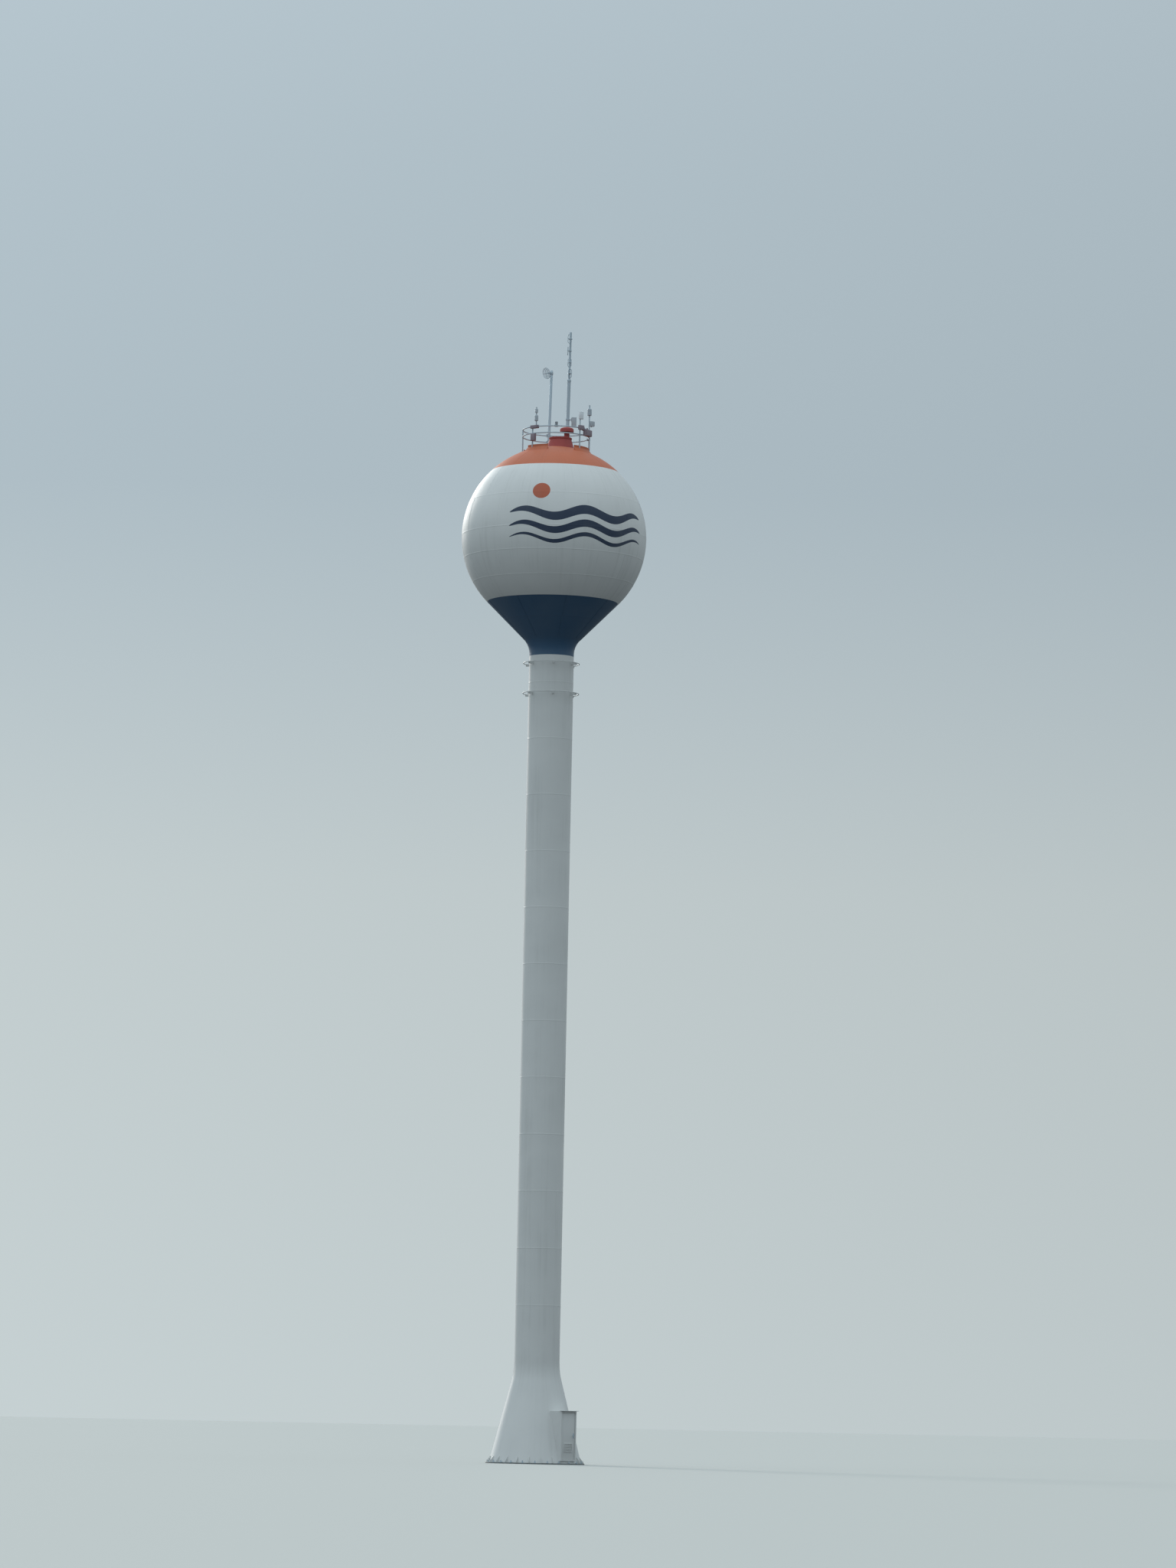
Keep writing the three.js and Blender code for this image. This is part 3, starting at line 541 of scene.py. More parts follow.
zinc_steel = zinc("pole_galvanised_zinc", "galvanised_steel", "#bccad3", "#97a3aa", 0.6)
powder_coat = grained("case_powder_coat_dark", "radio_case", "#8a7c84", "#948891", 6, 0.6, 0.2)
grey_coat = grained("case_powder_coat_grey", "grey_case", "#b6bfc6", "#a9b1b7", 6, 0.55, 0.2)
gel_coat = grained("radome_gel_coat", "pale_plastic", "#ecf1f5", "#dce3e8", 9, 0.42, 0.1)
grey_gel_coat = grained("radome_gel_coat_grey", "pale_plastic", "#b7c1c8", "#a9b3ba", 9, 0.5, 0.1)
dark_gel_coat = grained("radome_gel_coat_dark", "pale_plastic", "#b0bbc4", "#a3aeb6", 9, 0.5, 0.1)
ground_paint = grained("base_plate_zinc_primer", "ground_steel", "#7d8383", "#686c6a", 14, 0.6, 0.3)
print("finishes in all:", len(bpy.data.materials))

# %% [markdown]
# The ball
# The tank is a ball of curved plates, butt welded. A weld stands proud of the plates as a low
# round bead, so the profile of the ball gets a small rise at each level seam. The rise is a bell
# curve added to the radius. The ball is drawn in three pieces, cut where its colours meet.

# %% The ball's profile
BEAD_HEIGHT, BEAD_WIDTH = mm(5, 14)
BEAD_STEPS = np.array([-3.0, -1.5, -0.75, 0.0, 0.75, 1.5, 3.0])
BALL_SIDES, BALL_STEPS = 160, 36
LOWER_SEAMS, UPPER_SEAMS, ROOF_SEAM = (-30, -14), (0.6, 22), 66


def beaded(places, seams):
    """How far a bead lifts the wall at some places: a sum of bell curves, exp(-(d / w)^2)."""
    gaps = np.asarray(places)[:, None] - np.asarray(seams)[None, :]
    return BEAD_HEIGHT * np.exp(-((gaps / BEAD_WIDTH) ** 2)).sum(axis=1)


def with_seams(low, high, steps, seams):
    """Even steps from low to high, with seven more places close round each seam."""
    near = np.concatenate([s + BEAD_WIDTH * BEAD_STEPS for s in seams])
    near = near[(near > low) & (near < high)]
    return np.unique(np.round(np.r_[np.linspace(low, high, steps + 1), near], 6))


def ball_wall(low_z, high_z, seam_latitudes):
    """The wall between two heights. Along the outside, the arc length s gives the latitude
    s / R, and the radius is R plus the bead. The inside is a plain arc of radius R less the
    wall, run back downwards."""
    low, high = (BALL_RADIUS * math.asin((z - EQUATOR_Z) / BALL_RADIUS) for z in (low_z, high_z))
    seams = BALL_RADIUS * np.radians(seam_latitudes)
    along = with_seams(low, high, BALL_STEPS, seams)
    out = BALL_RADIUS + beaded(along, seams)
    latitude = along / BALL_RADIUS
    outside = np.stack([out * np.cos(latitude), EQUATOR_Z + out * np.sin(latitude)], 1)
    back = np.linspace(latitude[-1], latitude[0], BALL_STEPS // 2)
    inner = BALL_RADIUS - WALL
    inside = np.stack([inner * np.cos(back), EQUATOR_Z + inner * np.sin(back)], 1)
    profile = np.vstack([outside, inside])
    # A point that is almost on the axis is put on it, so that the pole closes
    profile[np.abs(profile[:, 0]) < 1e-5, 0] = 0.0
    return profile


lower_ball = lathe(ball_wall(BELL_TOP_Z, EQUATOR_Z, LOWER_SEAMS), BALL_SIDES)
piece("tank_ball_lower", lower_ball, ball_paint, quarters("ball_lower"))
upper_ball = lathe(ball_wall(EQUATOR_Z, ROOF_LINE_Z, UPPER_SEAMS), BALL_SIDES)
piece("tank_ball_upper", upper_ball, ball_paint, quarters("ball_upper"))
roof = lathe(ball_wall(ROOF_LINE_Z, EQUATOR_Z + BALL_RADIUS, (ROOF_SEAM,)), BALL_SIDES)
piece("tank_roof_cap", roof, orange_paint, ["roof_cap"])

# %% [markdown]
# The kerb
# Round the roof runs a low kerb that keeps a tool from rolling off: an upright lip on a sloping
# apron, bent to a circle and welded to the roof, with two gaps for people to step through. It is
# a strip whose outline is carried along the circle.

# %% Kerb
KERB_INNER, KERB_OUTER, KERB_FOOT = mm(1439, 1451, 1600)
KERB_KNEE_Z, KERB_TOP_Z = above(3.84), above(3.93)
KERB_RUNS = ((-57.5, 164), (-146.5, -103.5))
KERB_STEP = 2.5


def kerb(first, last):
    """One run of the kerb. Its outline is a foot, a slope and a lip with round edges, at each
    azimuth, drawn in at both ends to a point inside the lip's foot."""
    azimuth = np.radians(np.linspace(first, last, round((last - first) / KERB_STEP) + 1))
    edge, sunk = mm(3, 8)
    outline = np.array([(KERB_INNER, roof_z(KERB_INNER) - sunk), (KERB_FOOT, roof_z(KERB_FOOT) - sunk),
                        (KERB_OUTER, KERB_KNEE_Z), (KERB_OUTER, KERB_TOP_Z - edge),
                        (KERB_OUTER - edge, KERB_TOP_Z), (KERB_INNER + edge, KERB_TOP_Z),
                        (KERB_INNER, KERB_TOP_Z - edge)])
    core = np.full(outline.shape, ((KERB_INNER + KERB_OUTER) / 2, KERB_KNEE_Z - mm(30)))
    loops = np.stack([core] + [outline] * len(azimuth) + [core])
    azimuth = np.r_[azimuth[0], azimuth, azimuth[-1]][:, None]
    radius, height = loops[:, :, 0], loops[:, :, 1]
    points = np.stack([radius * np.cos(azimuth), radius * np.sin(azimuth), height], -1)
    return grid(points, wrap_columns=True)


piece("roof_kerb", join(*(kerb(*run) for run in KERB_RUNS)), orange_paint)

# %% [markdown]
# Gore seams
# Between two level seams the plates meet along meridians, and the seams of one belt stand half a
# plate aside from those of the next. Each is a thin round bar that follows the ball, sunk so
# that only a low bead shows.

# %% Gore seams on the ball
BELT_PLATES, ROOF_PLATES = 12, 8
BELT_TURNS = (7, 22, 7, 22, 7)
ROOF_TURN = 4
SEAM_MARGIN = 0.2


def meridian_bead(low_latitude, high_latitude):
    """A bead along a meridian: the bar's centre runs at a radius that leaves only its crown
    proud of the wall."""
    latitude = np.radians(np.linspace(low_latitude, high_latitude, 22))
    radius = BALL_RADIUS + BEAD_HEIGHT - BEAD_WIDTH / 2
    x, z = radius * np.cos(latitude), EQUATOR_Z + radius * np.sin(latitude)
    return bent_bar(np.stack([x, 0 * x, z], 1), BEAD_WIDTH / 2, (0, 1, 0), sides=8)


# The lowest and the highest bead of the white belts stop a little short of the cut edges
roof_latitude = math.degrees(math.asin((ROOF_LINE_Z - EQUATOR_Z) / BALL_RADIUS))
belt_ends = (-44.7, *LOWER_SEAMS, *UPPER_SEAMS, roof_latitude - 0.1)
belts = [around(meridian_bead(low + SEAM_MARGIN, high - SEAM_MARGIN), BELT_PLATES, turn)
         for low, high, turn in zip(belt_ends[:-1], belt_ends[1:], BELT_TURNS)]
piece("tank_gore_welds", join(*belts), ball_paint)
roof_bead = meridian_bead(roof_latitude + 0.3, ROOF_SEAM - SEAM_MARGIN)
piece("roof_gore_welds", around(roof_bead, ROOF_PLATES, ROOF_TURN), orange_paint)

# %% [markdown]
# The bell and the neck
# Under the ball, the wall runs on along its 45 degree tangent and then bends into the column
# through a rounded knuckle. Both are one painted surface, so they are one piece here. The bend
# is an arc that is tangent to the cone and to the column.

# %% Bell and neck
FLARE_RADIUS = mm(930)
FLARE_STEPS, CONE_STEPS = 14, 8
BELL_SEAM_SHARE = 0.52
BELL_PLATES, BELL_TURN = 8, 12
bell_top_radius = math.sqrt(BALL_RADIUS ** 2 - (BELL_TOP_Z - EQUATOR_Z) ** 2)
corner_z = BELL_TOP_Z - (bell_top_radius - COLUMN_RADIUS)


def neck_line(inset):
    """The line from the neck's foot to the bell's top, moved inwards by inset.

    The arc's centre lies FLARE_RADIUS outside the column and tan(pi / 8) x FLARE_RADIUS below the
    corner where cone and column would meet."""
    turn = np.linspace(np.pi, 0.75 * np.pi, FLARE_STEPS)
    centre = COLUMN_RADIUS + FLARE_RADIUS, corner_z - FLARE_RADIUS * math.tan(math.pi / 8)
    reach = FLARE_RADIUS + inset
    bend = np.stack([centre[0] + reach * np.cos(turn), centre[1] + reach * np.sin(turn)], 1)
    foot = [(COLUMN_RADIUS - inset, NECK_Z)]
    top = [(bell_top_radius - inset * math.sqrt(2), BELL_TOP_Z)]
    return np.vstack([foot, bend, top])


def bell_with_seam():
    """The bell's outline with one bead, about half way up the cone."""
    outside = neck_line(0)
    foot, top = outside[-2], outside[-1]
    length = np.linalg.norm(top - foot)
    seams = [length * BELL_SEAM_SHARE]
    along = with_seams(0, length, CONE_STEPS, seams)[1:-1]
    lift = beaded(along, seams)[:, None] * np.array([1, -1]) / math.sqrt(2)
    cone = foot + (top - foot) * along[:, None] / length + lift
    return np.vstack([outside[:-1], cone, top[None], neck_line(WALL)[::-1]])


bell = lathe(bell_with_seam(), BALL_SIDES)
piece("tank_bell_and_neck", bell, navy_paint, ["neck_flare", *quarters("bell_cone")])
foot, top = neck_line(-0.25 * BEAD_WIDTH)[-2:]
bell_bead = rod((foot[0], 0, foot[1]), (top[0] - mm(20), 0, top[1] - mm(20)), BEAD_WIDTH / 2, sides=8)
piece("bell_gore_welds", around(bell_bead, BELL_PLATES, BELL_TURN), navy_paint)

# %% [markdown]
# The column
# The column is a stack of rolled plates, each eight feet tall, with a level weld between two
# courses and one upright weld in each course, turned aside from the one below. The level beads
# are rises in the lathed profile, and the upright ones are thin bars on the wall.

# %% The column
COURSE = mm(2438)
COLUMN_SIDES, COLUMN_STEPS = 112, 40
UPRIGHT_START, UPRIGHT_TURN = 40, 137
course_seams = np.arange(BASE_TOP_Z + COURSE, NECK_Z - COURSE / 3, COURSE)
heights = with_seams(BASE_TOP_Z, NECK_Z, COLUMN_STEPS, course_seams)
outside = np.stack([COLUMN_RADIUS + beaded(heights, course_seams), heights], 1)
inside = [(COLUMN_RADIUS - WALL, NECK_Z), (COLUMN_RADIUS - WALL, BASE_TOP_Z)]
column = lathe(np.vstack([outside, inside]), COLUMN_SIDES)
piece("column_shell", column, column_paint, [f"column_course_{i}" for i in range(1, 6)])

course_ends = np.r_[BASE_TOP_Z, course_seams, NECK_Z]
bead_radius = COLUMN_RADIUS + BEAD_HEIGHT - BEAD_WIDTH / 2
uprights = [rod((bead_radius, 0, low), (bead_radius, 0, high), BEAD_WIDTH / 2, sides=8)
            for low, high in zip(course_ends[:-1], course_ends[1:])]
turned = [spin(upright, UPRIGHT_START + UPRIGHT_TURN * i) for i, upright in enumerate(uprights)]
piece("column_upright_welds", join(*turned), column_paint)

# %% [markdown]
# Painters' rails
# Two rings of round bar stand off the top of the column. A painter hangs a rolling scaffold
# from them. Each ring sits on short flat brackets, welded edge on to the column.

# %% Painters' rails
PAINTER_BAR = mm(19)
PAINTER_RADIUS = box_of("painters_rail_upper")[1][0] - PAINTER_BAR
BRACKETS, FIRST_BRACKET = 6, -85


def bracket(level):
    """A flat plate from inside the column's wall to the ring, with a small foot plate."""
    start, end = COLUMN_RADIUS - mm(4), PAINTER_RADIUS + mm(8)
    z = level - mm(30)
    plate = block((end - start, *mm(20, 110)), ((start + end) / 2, 0, z), mm(3))
    return join(plate, block(mm(14, 90, 160), (COLUMN_RADIUS + mm(5), 0, z), mm(3)))


for level in ("upper", "lower"):
    node = f"painters_rail_{level}"
    bar_z = box_of(node)[1][2] - mm(30)
    ring = hoop(PAINTER_RADIUS, PAINTER_BAR, bar_z, sides=144)
    shape = join(ring, around(bracket(bar_z), BRACKETS, FIRST_BRACKET))
    piece(f"painter_ring_{level}", shape, small_paint, [node])

# %% [markdown]
# The base cone
# At the foot the column flares into a cone, wide enough to walk into. A doorway is cut through
# it. The cone is lathed like the other walls, and the doorway is cut with a Boolean modifier,
# because an upright opening through a sloping round wall has no simple grid.

# %% The base cone
BASE_WALL, KNUCKLE_RADIUS = mm(12, 3000)
BASE_SLOPE = math.radians(14.5)
DOOR_AZIMUTH = -45
DOOR_WIDTH, DOOR_HEIGHT, DOOR_SILL, FRAME_PLATE, FRAME_FRONT = mm(800, 2000, 200, 60, 2000)
DOOR_Z = DOOR_SILL + DOOR_HEIGHT / 2


def base_line(inset, steps=12):
    """The cone's line from its foot to the column: a straight slope and then an arc of the
    knuckle's radius that ends upright at the column's wall."""
    turn = np.linspace(np.pi + BASE_SLOPE, np.pi, steps)
    reach = KNUCKLE_RADIUS + inset
    arc = np.stack([COLUMN_RADIUS + KNUCKLE_RADIUS + reach * np.cos(turn),
                    BASE_TOP_Z + reach * np.sin(turn)], 1)
    foot = arc[0] + (arc[0][1] - PLATE_TOP_Z) * np.array([math.tan(BASE_SLOPE), -1])
    return np.vstack([foot, arc])


def base_radius(z):
    """The radius of the cone's outside at a height, read off its line."""
    line = base_line(0, 40)
    return np.interp(z, line[:, 1], line[:, 0])


def cut(obj, shape):
    """Cuts a shape out of an object with a Boolean modifier, and keeps only the result."""
    cutter = put("cutter", mesh_of("cutter", shape))
    modifier = obj.modifiers.new("opening", "BOOLEAN")
    modifier.operation, modifier.solver, modifier.object = "DIFFERENCE", "EXACT", cutter
    bpy.context.view_layer.update()
    result = bpy.data.meshes.new_from_object(obj.evaluated_get(bpy.context.evaluated_depsgraph_get()))
    obj.modifiers.clear()
    obj.data = result
    result.set_sharp_from_angle(angle=math.radians(SHARP_DEGREES))
    bpy.data.objects.remove(cutter)


cone = lathe(np.vstack([base_line(0), base_line(BASE_WALL)[::-1]]), sides=128)
base = piece("base_cone", cone, column_paint, quarters("base_shell"))
# The opening ends under the frame's plates, so its edge doesn't show
way_margin = 1.6 * FRAME_PLATE
way_size = (mm(1600), DOOR_WIDTH + way_margin, DOOR_HEIGHT + way_margin)
cut(base, spin(block(way_size, (mm(1700), 0, DOOR_Z), mm(2)), DOOR_AZIMUTH))
print("with its doorway, the cone has", len(base.data.polygons), "faces")

# %% [markdown]
# The door
# A steel door stands upright in a box frame that sticks out of the sloping wall. The frame is
# four plates whose back edge follows the cone. On the leaf are a louvre, a lever and three
# hinges, as on any plant door. The photo hides it, so it is kept plain.

# %% Door frame
def frame_loop(width, height, x):
    """A rectangle's outline, in even steps, in the plane of the door. x is a number, or a
    function of (y, z) for an edge that follows a wall."""
    t = np.linspace(-1, 1, 9)[:-1]
    one = np.ones(len(t))
    y = np.r_[t, one, -t, -one] * width / 2
    z = np.r_[-one, t, one, -t] * height / 2 + DOOR_Z
    depth = x(y, z) if callable(x) else np.full(len(y), x)
    return np.stack([depth, y, z], 1)


def on_cone(y, z):
    """The wall's distance along the door's direction, a little inside its outer face."""
    return np.sqrt(base_radius(z) ** 2 - y ** 2) - 2 * BASE_WALL


outer = DOOR_WIDTH + 2 * FRAME_PLATE, DOOR_HEIGHT + 2 * FRAME_PLATE
inner = DOOR_WIDTH, DOOR_HEIGHT
lip = mm(20)
loops = [frame_loop(*outer, on_cone), frame_loop(*outer, FRAME_FRONT - lip),
         frame_loop(outer[0] - lip, outer[1] - lip, FRAME_FRONT), frame_loop(*inner, FRAME_FRONT),
         frame_loop(*inner, on_cone)]
door_box = grid(np.stack(loops), wrap_rows=True, wrap_columns=True)
hood_z = DOOR_SILL + DOOR_HEIGHT + FRAME_PLATE + mm(12)
hood = block((mm(160), outer[0] + mm(100), mm(20)), (FRAME_FRONT, 0, hood_z), mm(4))
piece("door_box_frame", spin(join(door_box, hood), DOOR_AZIMUTH), column_paint, ["door_frame"])

# %% [markdown]
# The door's leaf is a flat panel with a folded edge. The louvre's blades are sloping slats in a
# low frame, and the hinges' knuckles stand proud at the side.

# %% Door leaf and its fittings
leaf_x = FRAME_FRONT - mm(65)
face_x = leaf_x + mm(25)
leaf = block((mm(50), DOOR_WIDTH - mm(8), DOOR_HEIGHT - mm(8)), (leaf_x, 0, DOOR_Z), mm(6))
louvre_z = DOOR_SILL + mm(380)
slat = aim(block(mm(460, 45, 6), edge=mm(2)), (0.6, 0, 0.8))
slats = [move(slat, (face_x + mm(8), 0, louvre_z + mm(45) * i)) for i in range(7)]
level_bar, upright_bar = mm(30, 500, 25), mm(30, 25, 370)
louvre_frame = [block(size, (face_x + mm(12), y, louvre_z + z), mm(4))
                for size, (y, z) in ((level_bar, mm(0, -40)), (level_bar, mm(0, 310)),
                                     (upright_bar, mm(240, 135)), (upright_bar, mm(-240, 135)))]
panel = join(leaf, join(*slats), join(*louvre_frame))
piece("door_leaf_panel", spin(panel, DOOR_AZIMUTH), column_paint, ["door_leaf"])

hinge_x, hinge_y = face_x + mm(12), mm(6) - DOOR_WIDTH / 2
hinges = [rod((hinge_x, hinge_y, z - mm(60)), (hinge_x, hinge_y, z + mm(60)), mm(14), sides=14)
          for z in DOOR_Z + mm(780) * np.array([-1, 0, 1])]
lever_x, lever_y, lever_z = face_x + mm(55), DOOR_WIDTH / 2 - mm(80), DOOR_SILL + mm(1020)
lever_plate = block(mm(10, 60, 220), (face_x + mm(4), lever_y, lever_z), mm(4))
spindle = rod((face_x, lever_y, lever_z), (face_x + mm(60), lever_y, lever_z), mm(12))
lever = rod((lever_x, lever_y, lever_z), (lever_x, lever_y - mm(130), lever_z), mm(11))
ironwork = join(*hinges, lever_plate, spindle, lever)
piece("door_hinges_and_lever", spin(ironwork, DOOR_AZIMUTH), zinc_steel)

# %% [markdown]
# Base plate and anchors
# The cone is welded to a thick round plate. Anchor bolts come up through the plate's ledge, each
# between two gussets that brace the cone's wall, except under the door. The plate is a lathed
# slab, and one bolt and one gusset are copied round it. Four upright welds run up the cone.

# %% Base plate, gussets and anchor bolts
ANCHORS = 24
GUSSET_HEIGHT, GUSSET_PLATE = mm(260, 14)
FIRST_GUSSET = -172.5
DOOR_CLEARANCE_DEGREES = 15
edge = mm(8)
plate = lathe([(0, 0), (PLATE_RADIUS - edge, 0), (PLATE_RADIUS, edge), (PLATE_RADIUS, PLATE_TOP_Z - edge),
               (PLATE_RADIUS - edge, PLATE_TOP_Z), (0, PLATE_TOP_Z)], sides=160)
piece("base_round_plate", plate, ground_paint, ["base_plate"])


def gusset():
    """A plate against the cone, wide at its foot: an outline of five points, carried through the
    plate's thickness."""
    top, toe = PLATE_TOP_Z + GUSSET_HEIGHT, PLATE_RADIUS - mm(20)
    outline = np.array([(BASE_FOOT_RADIUS - mm(10), PLATE_TOP_Z), (toe, PLATE_TOP_Z),
                        (toe, PLATE_TOP_Z + mm(30)), (base_radius(top) + mm(20), top),
                        (base_radius(top) - mm(10), top)])
    middle = np.full(outline.shape, outline.mean(0))
    levels = ((middle, -1), (outline, -1), (outline, 1), (middle, 1))
    return grid(np.stack([np.insert(line, 1, side * GUSSET_PLATE / 2, axis=1) for line, side in levels]),
                wrap_columns=True)


azimuths = [a for a in np.arange(FIRST_GUSSET, 180, 360 / ANCHORS)
            if abs(a - DOOR_AZIMUTH) > DOOR_CLEARANCE_DEGREES]
piece("base_gussets", join(*(spin(gusset(), a) for a in azimuths)), column_paint)

# The bead is a bent bar whose centre runs just inside the wall
bead_path = np.insert(base_line(BEAD_WIDTH / 2 - BEAD_HEIGHT), 1, 0, axis=1)
cone_bead = bent_bar(bead_path, BEAD_WIDTH / 2, (0, 1, 0), sides=8)
piece("base_upright_welds", around(cone_bead, 4), column_paint)

bolt_circle = (BASE_FOOT_RADIUS + PLATE_RADIUS) / 2
washer = block(mm(90, 90, 12), mm(0, 0, 6), mm(3))
thread = rod(mm(0, 0, 10), mm(0, 0, 100), mm(18), sides=12)
anchor = join(washer, move(nut(mm(36), mm(30)), mm(0, 0, 12)), thread)
anchors = around(move(anchor, (bolt_circle, 0, PLATE_TOP_Z)), ANCHORS)
piece("base_anchor_bolts", anchors, zinc_steel)

# %% [markdown]
# The roof's handrail
# Seven posts and two rings of galvanised pipe guard the roof, with a double bay in front. A post
# stands on a small pad that is welded to the roof. The rings are small circles turned about the
# tower's axis.

# %% Handrail
RAIL_PIPE, POST_PIPE = mm(26, 30)
RAIL_RADIUS = box_of("handrail")[1][0] - POST_PIPE
RAIL_FOOT_Z = roof_z(RAIL_RADIUS)
RAIL_TOP_Z, RAIL_MIDDLE_Z = above(4.71), above(4.42)
POST_AZIMUTHS = (0, 45, 90, 135, 180, 225, 315)

pad = lathe([(0, 0), (mm(85), 0), mm(85, 10), mm(60, 14), mm(0, 14)], sides=24)
post = join(rod((RAIL_RADIUS, 0, RAIL_FOOT_Z - mm(10)), (RAIL_RADIUS, 0, RAIL_TOP_Z), POST_PIPE),
            on_roof(pad, RAIL_RADIUS, sink=mm(2)))
rail = join(hoop(RAIL_RADIUS, RAIL_PIPE, RAIL_TOP_Z), hoop(RAIL_RADIUS, RAIL_PIPE, RAIL_MIDDLE_Z),
            *(spin(post, azimuth) for azimuth in POST_AZIMUTHS))
piece("handrail_pipes", rail, zinc_steel, ["handrail"])

# %% [markdown]
# Turret and vent
# On the crown of the roof stands a low turret, a little wider at its foot, under a flat lid, and
# on the lid a mushroom vent. The lid is bolted down round its rim. The turret's foot has to
# follow the round roof, so each loop of its wall is either level or at the roof's own height.

# %% Turret and lid
lid_low, lid_high = box_of("turret_lid")
TURRET_X = (lid_low[0] + lid_high[0]) / 2
LID_RADIUS = lid_high[0] - TURRET_X
LID_Z, LID_TOP_Z = lid_low[2], lid_high[2]
TURRET_TOP_RADIUS, SHEET = mm(470, 12)
TURRET_TAPER = 0.3
LID_BOLTS = 16


def turret_wall():
    """A cone of sheet steel with a weld at its foot, as a stack of closed loops."""
    azimuth = np.linspace(0, 2 * np.pi, 72, endpoint=False)

    def loop(radius, height=None, lift=0.0):
        """A circle about the turret's axis, at one height or at the roof's height plus a lift."""
        x, y = TURRET_X + radius * np.cos(azimuth), radius * np.sin(azimuth)
        z = roof_z(np.hypot(x, y)) + lift if height is None else np.full(len(x), height)
        return np.stack([x, y, z], 1)

    foot = TURRET_TOP_RADIUS + TURRET_TAPER * (LID_Z - above(3.95))
    rim = LID_RADIUS - mm(4)
    loops = [loop(foot - SHEET, lift=-mm(10)), loop(foot + mm(20), lift=-mm(4)),
             loop(foot + mm(18), lift=mm(8)), loop(foot, lift=mm(30)),
             loop(TURRET_TOP_RADIUS + mm(8), LID_Z - mm(35)), loop(rim, LID_Z - mm(30)),
             loop(rim, LID_Z), loop(TURRET_TOP_RADIUS - SHEET, LID_Z)]
    return grid(np.stack(loops), wrap_rows=True, wrap_columns=True)


piece("turret_curb", turret_wall(), shaded_orange_paint, ["turret_wall"])
lid_edge = mm(6)
lid = lathe([(0, LID_Z), (LID_RADIUS - lid_edge, LID_Z), (LID_RADIUS, LID_Z + lid_edge),
             (LID_RADIUS, LID_TOP_Z - mm(18)), (LID_RADIUS - mm(20), LID_TOP_Z - mm(8)),
             (0, LID_TOP_Z)], sides=72)
lid_bolt = move(nut(mm(16), mm(14)), (LID_RADIUS - mm(40), 0, LID_TOP_Z - mm(9)))
grip_path = [mm(0, y, z) for y, z in ((-90, 0), (-85, 50), (-70, 65), (70, 65), (85, 50), (90, 0))]
grip = move(bent_bar(grip_path, mm(10), (1, 0, 0)), (-mm(300), 0, LID_TOP_Z - mm(10)))
cover = join(lid, around(lid_bolt, LID_BOLTS), grip)
piece("turret_cover", move(cover, (TURRET_X, 0, 0)), shaded_orange_paint, ["turret_lid"])

# %% [markdown]
# The mushroom vent is a pipe under a wide shallow cap. The cap's skirt hangs over the pipe's
# mouth, so that rain stays out, and a screen of thin bars closes the ring between skirt and pipe
# against birds.

# %% Mushroom vent
vent_low, vent_high = box_of("roof_vent")
VENT_X = (vent_low[0] + vent_high[0]) / 2
VENT_RADIUS = vent_high[0] - VENT_X
VENT_TOP_Z = vent_high[2]
VENT_NECK, VENT_WIRE = mm(115, 5)
SCREEN_BARS = 36
skirt_z, shoulder_z, edge_z = above(4.66), above(4.71), above(4.77)
dome = np.linspace(0, np.pi / 2, 12)
cap_top = np.stack([VENT_RADIUS * np.cos(dome), edge_z + (VENT_TOP_Z - edge_z) * np.sin(dome)], 1)
cap_top[-1, 0] = 0.0
cap = np.vstack([[(0, shoulder_z), (VENT_RADIUS - 2 * SHEET, shoulder_z), (VENT_RADIUS - SHEET, skirt_z),
                  (VENT_RADIUS, skirt_z), (VENT_RADIUS + SHEET / 2, skirt_z + SHEET / 2),
                  (VENT_RADIUS, skirt_z + SHEET)], cap_top])
flange = VENT_NECK + mm(50)
neck = lathe([(0, LID_TOP_Z - mm(12)), (flange, LID_TOP_Z - mm(12)), (flange, LID_TOP_Z + mm(14)),
              (VENT_NECK, LID_TOP_Z + mm(14)), (VENT_NECK, shoulder_z + mm(10)),
              (0, shoulder_z + mm(10))], sides=40)
screen_z = skirt_z + mm(18)
screen_bar = rod((VENT_NECK - VENT_WIRE, 0, screen_z), (VENT_RADIUS - SHEET, 0, screen_z), VENT_WIRE,
                 sides=6)
screen_rings = [hoop(radius, VENT_WIRE, screen_z, sides=48, around_bar=6) for radius in mm(160, 200, 240)]
vent = join(lathe(cap, sides=64), neck, around(screen_bar, SCREEN_BARS), *screen_rings)
piece("vent_mushroom", move(vent, (VENT_X, 0, 0)), shaded_orange_paint, ["roof_vent"])

# %% [markdown]
# Poles out of plumb
# The tall mast and the shorter pole stand just inside the handrail at the back, clamped to both
# rings, each on a small round plate that is welded square to the roof. Both lean a little to the
# right in the photo, so each is drawn upright from its foot and then leaned, as in the
# construction.

# %% A leaning pole and its clamps
POLE_FOOT_Z = above(3.6)


def lean(shape, degrees, x, y):
    """A shape drawn about its foot, leaned to +X by some degrees and set on its place."""
    c, s = math.cos(math.radians(degrees)), math.sin(math.radians(degrees))
    leaned = shape[0] @ np.array([[c, 0, -s], [0, 1, 0], [s, 0, c]])
    return move((leaned, shape[1]), (x, y, POLE_FOOT_Z))


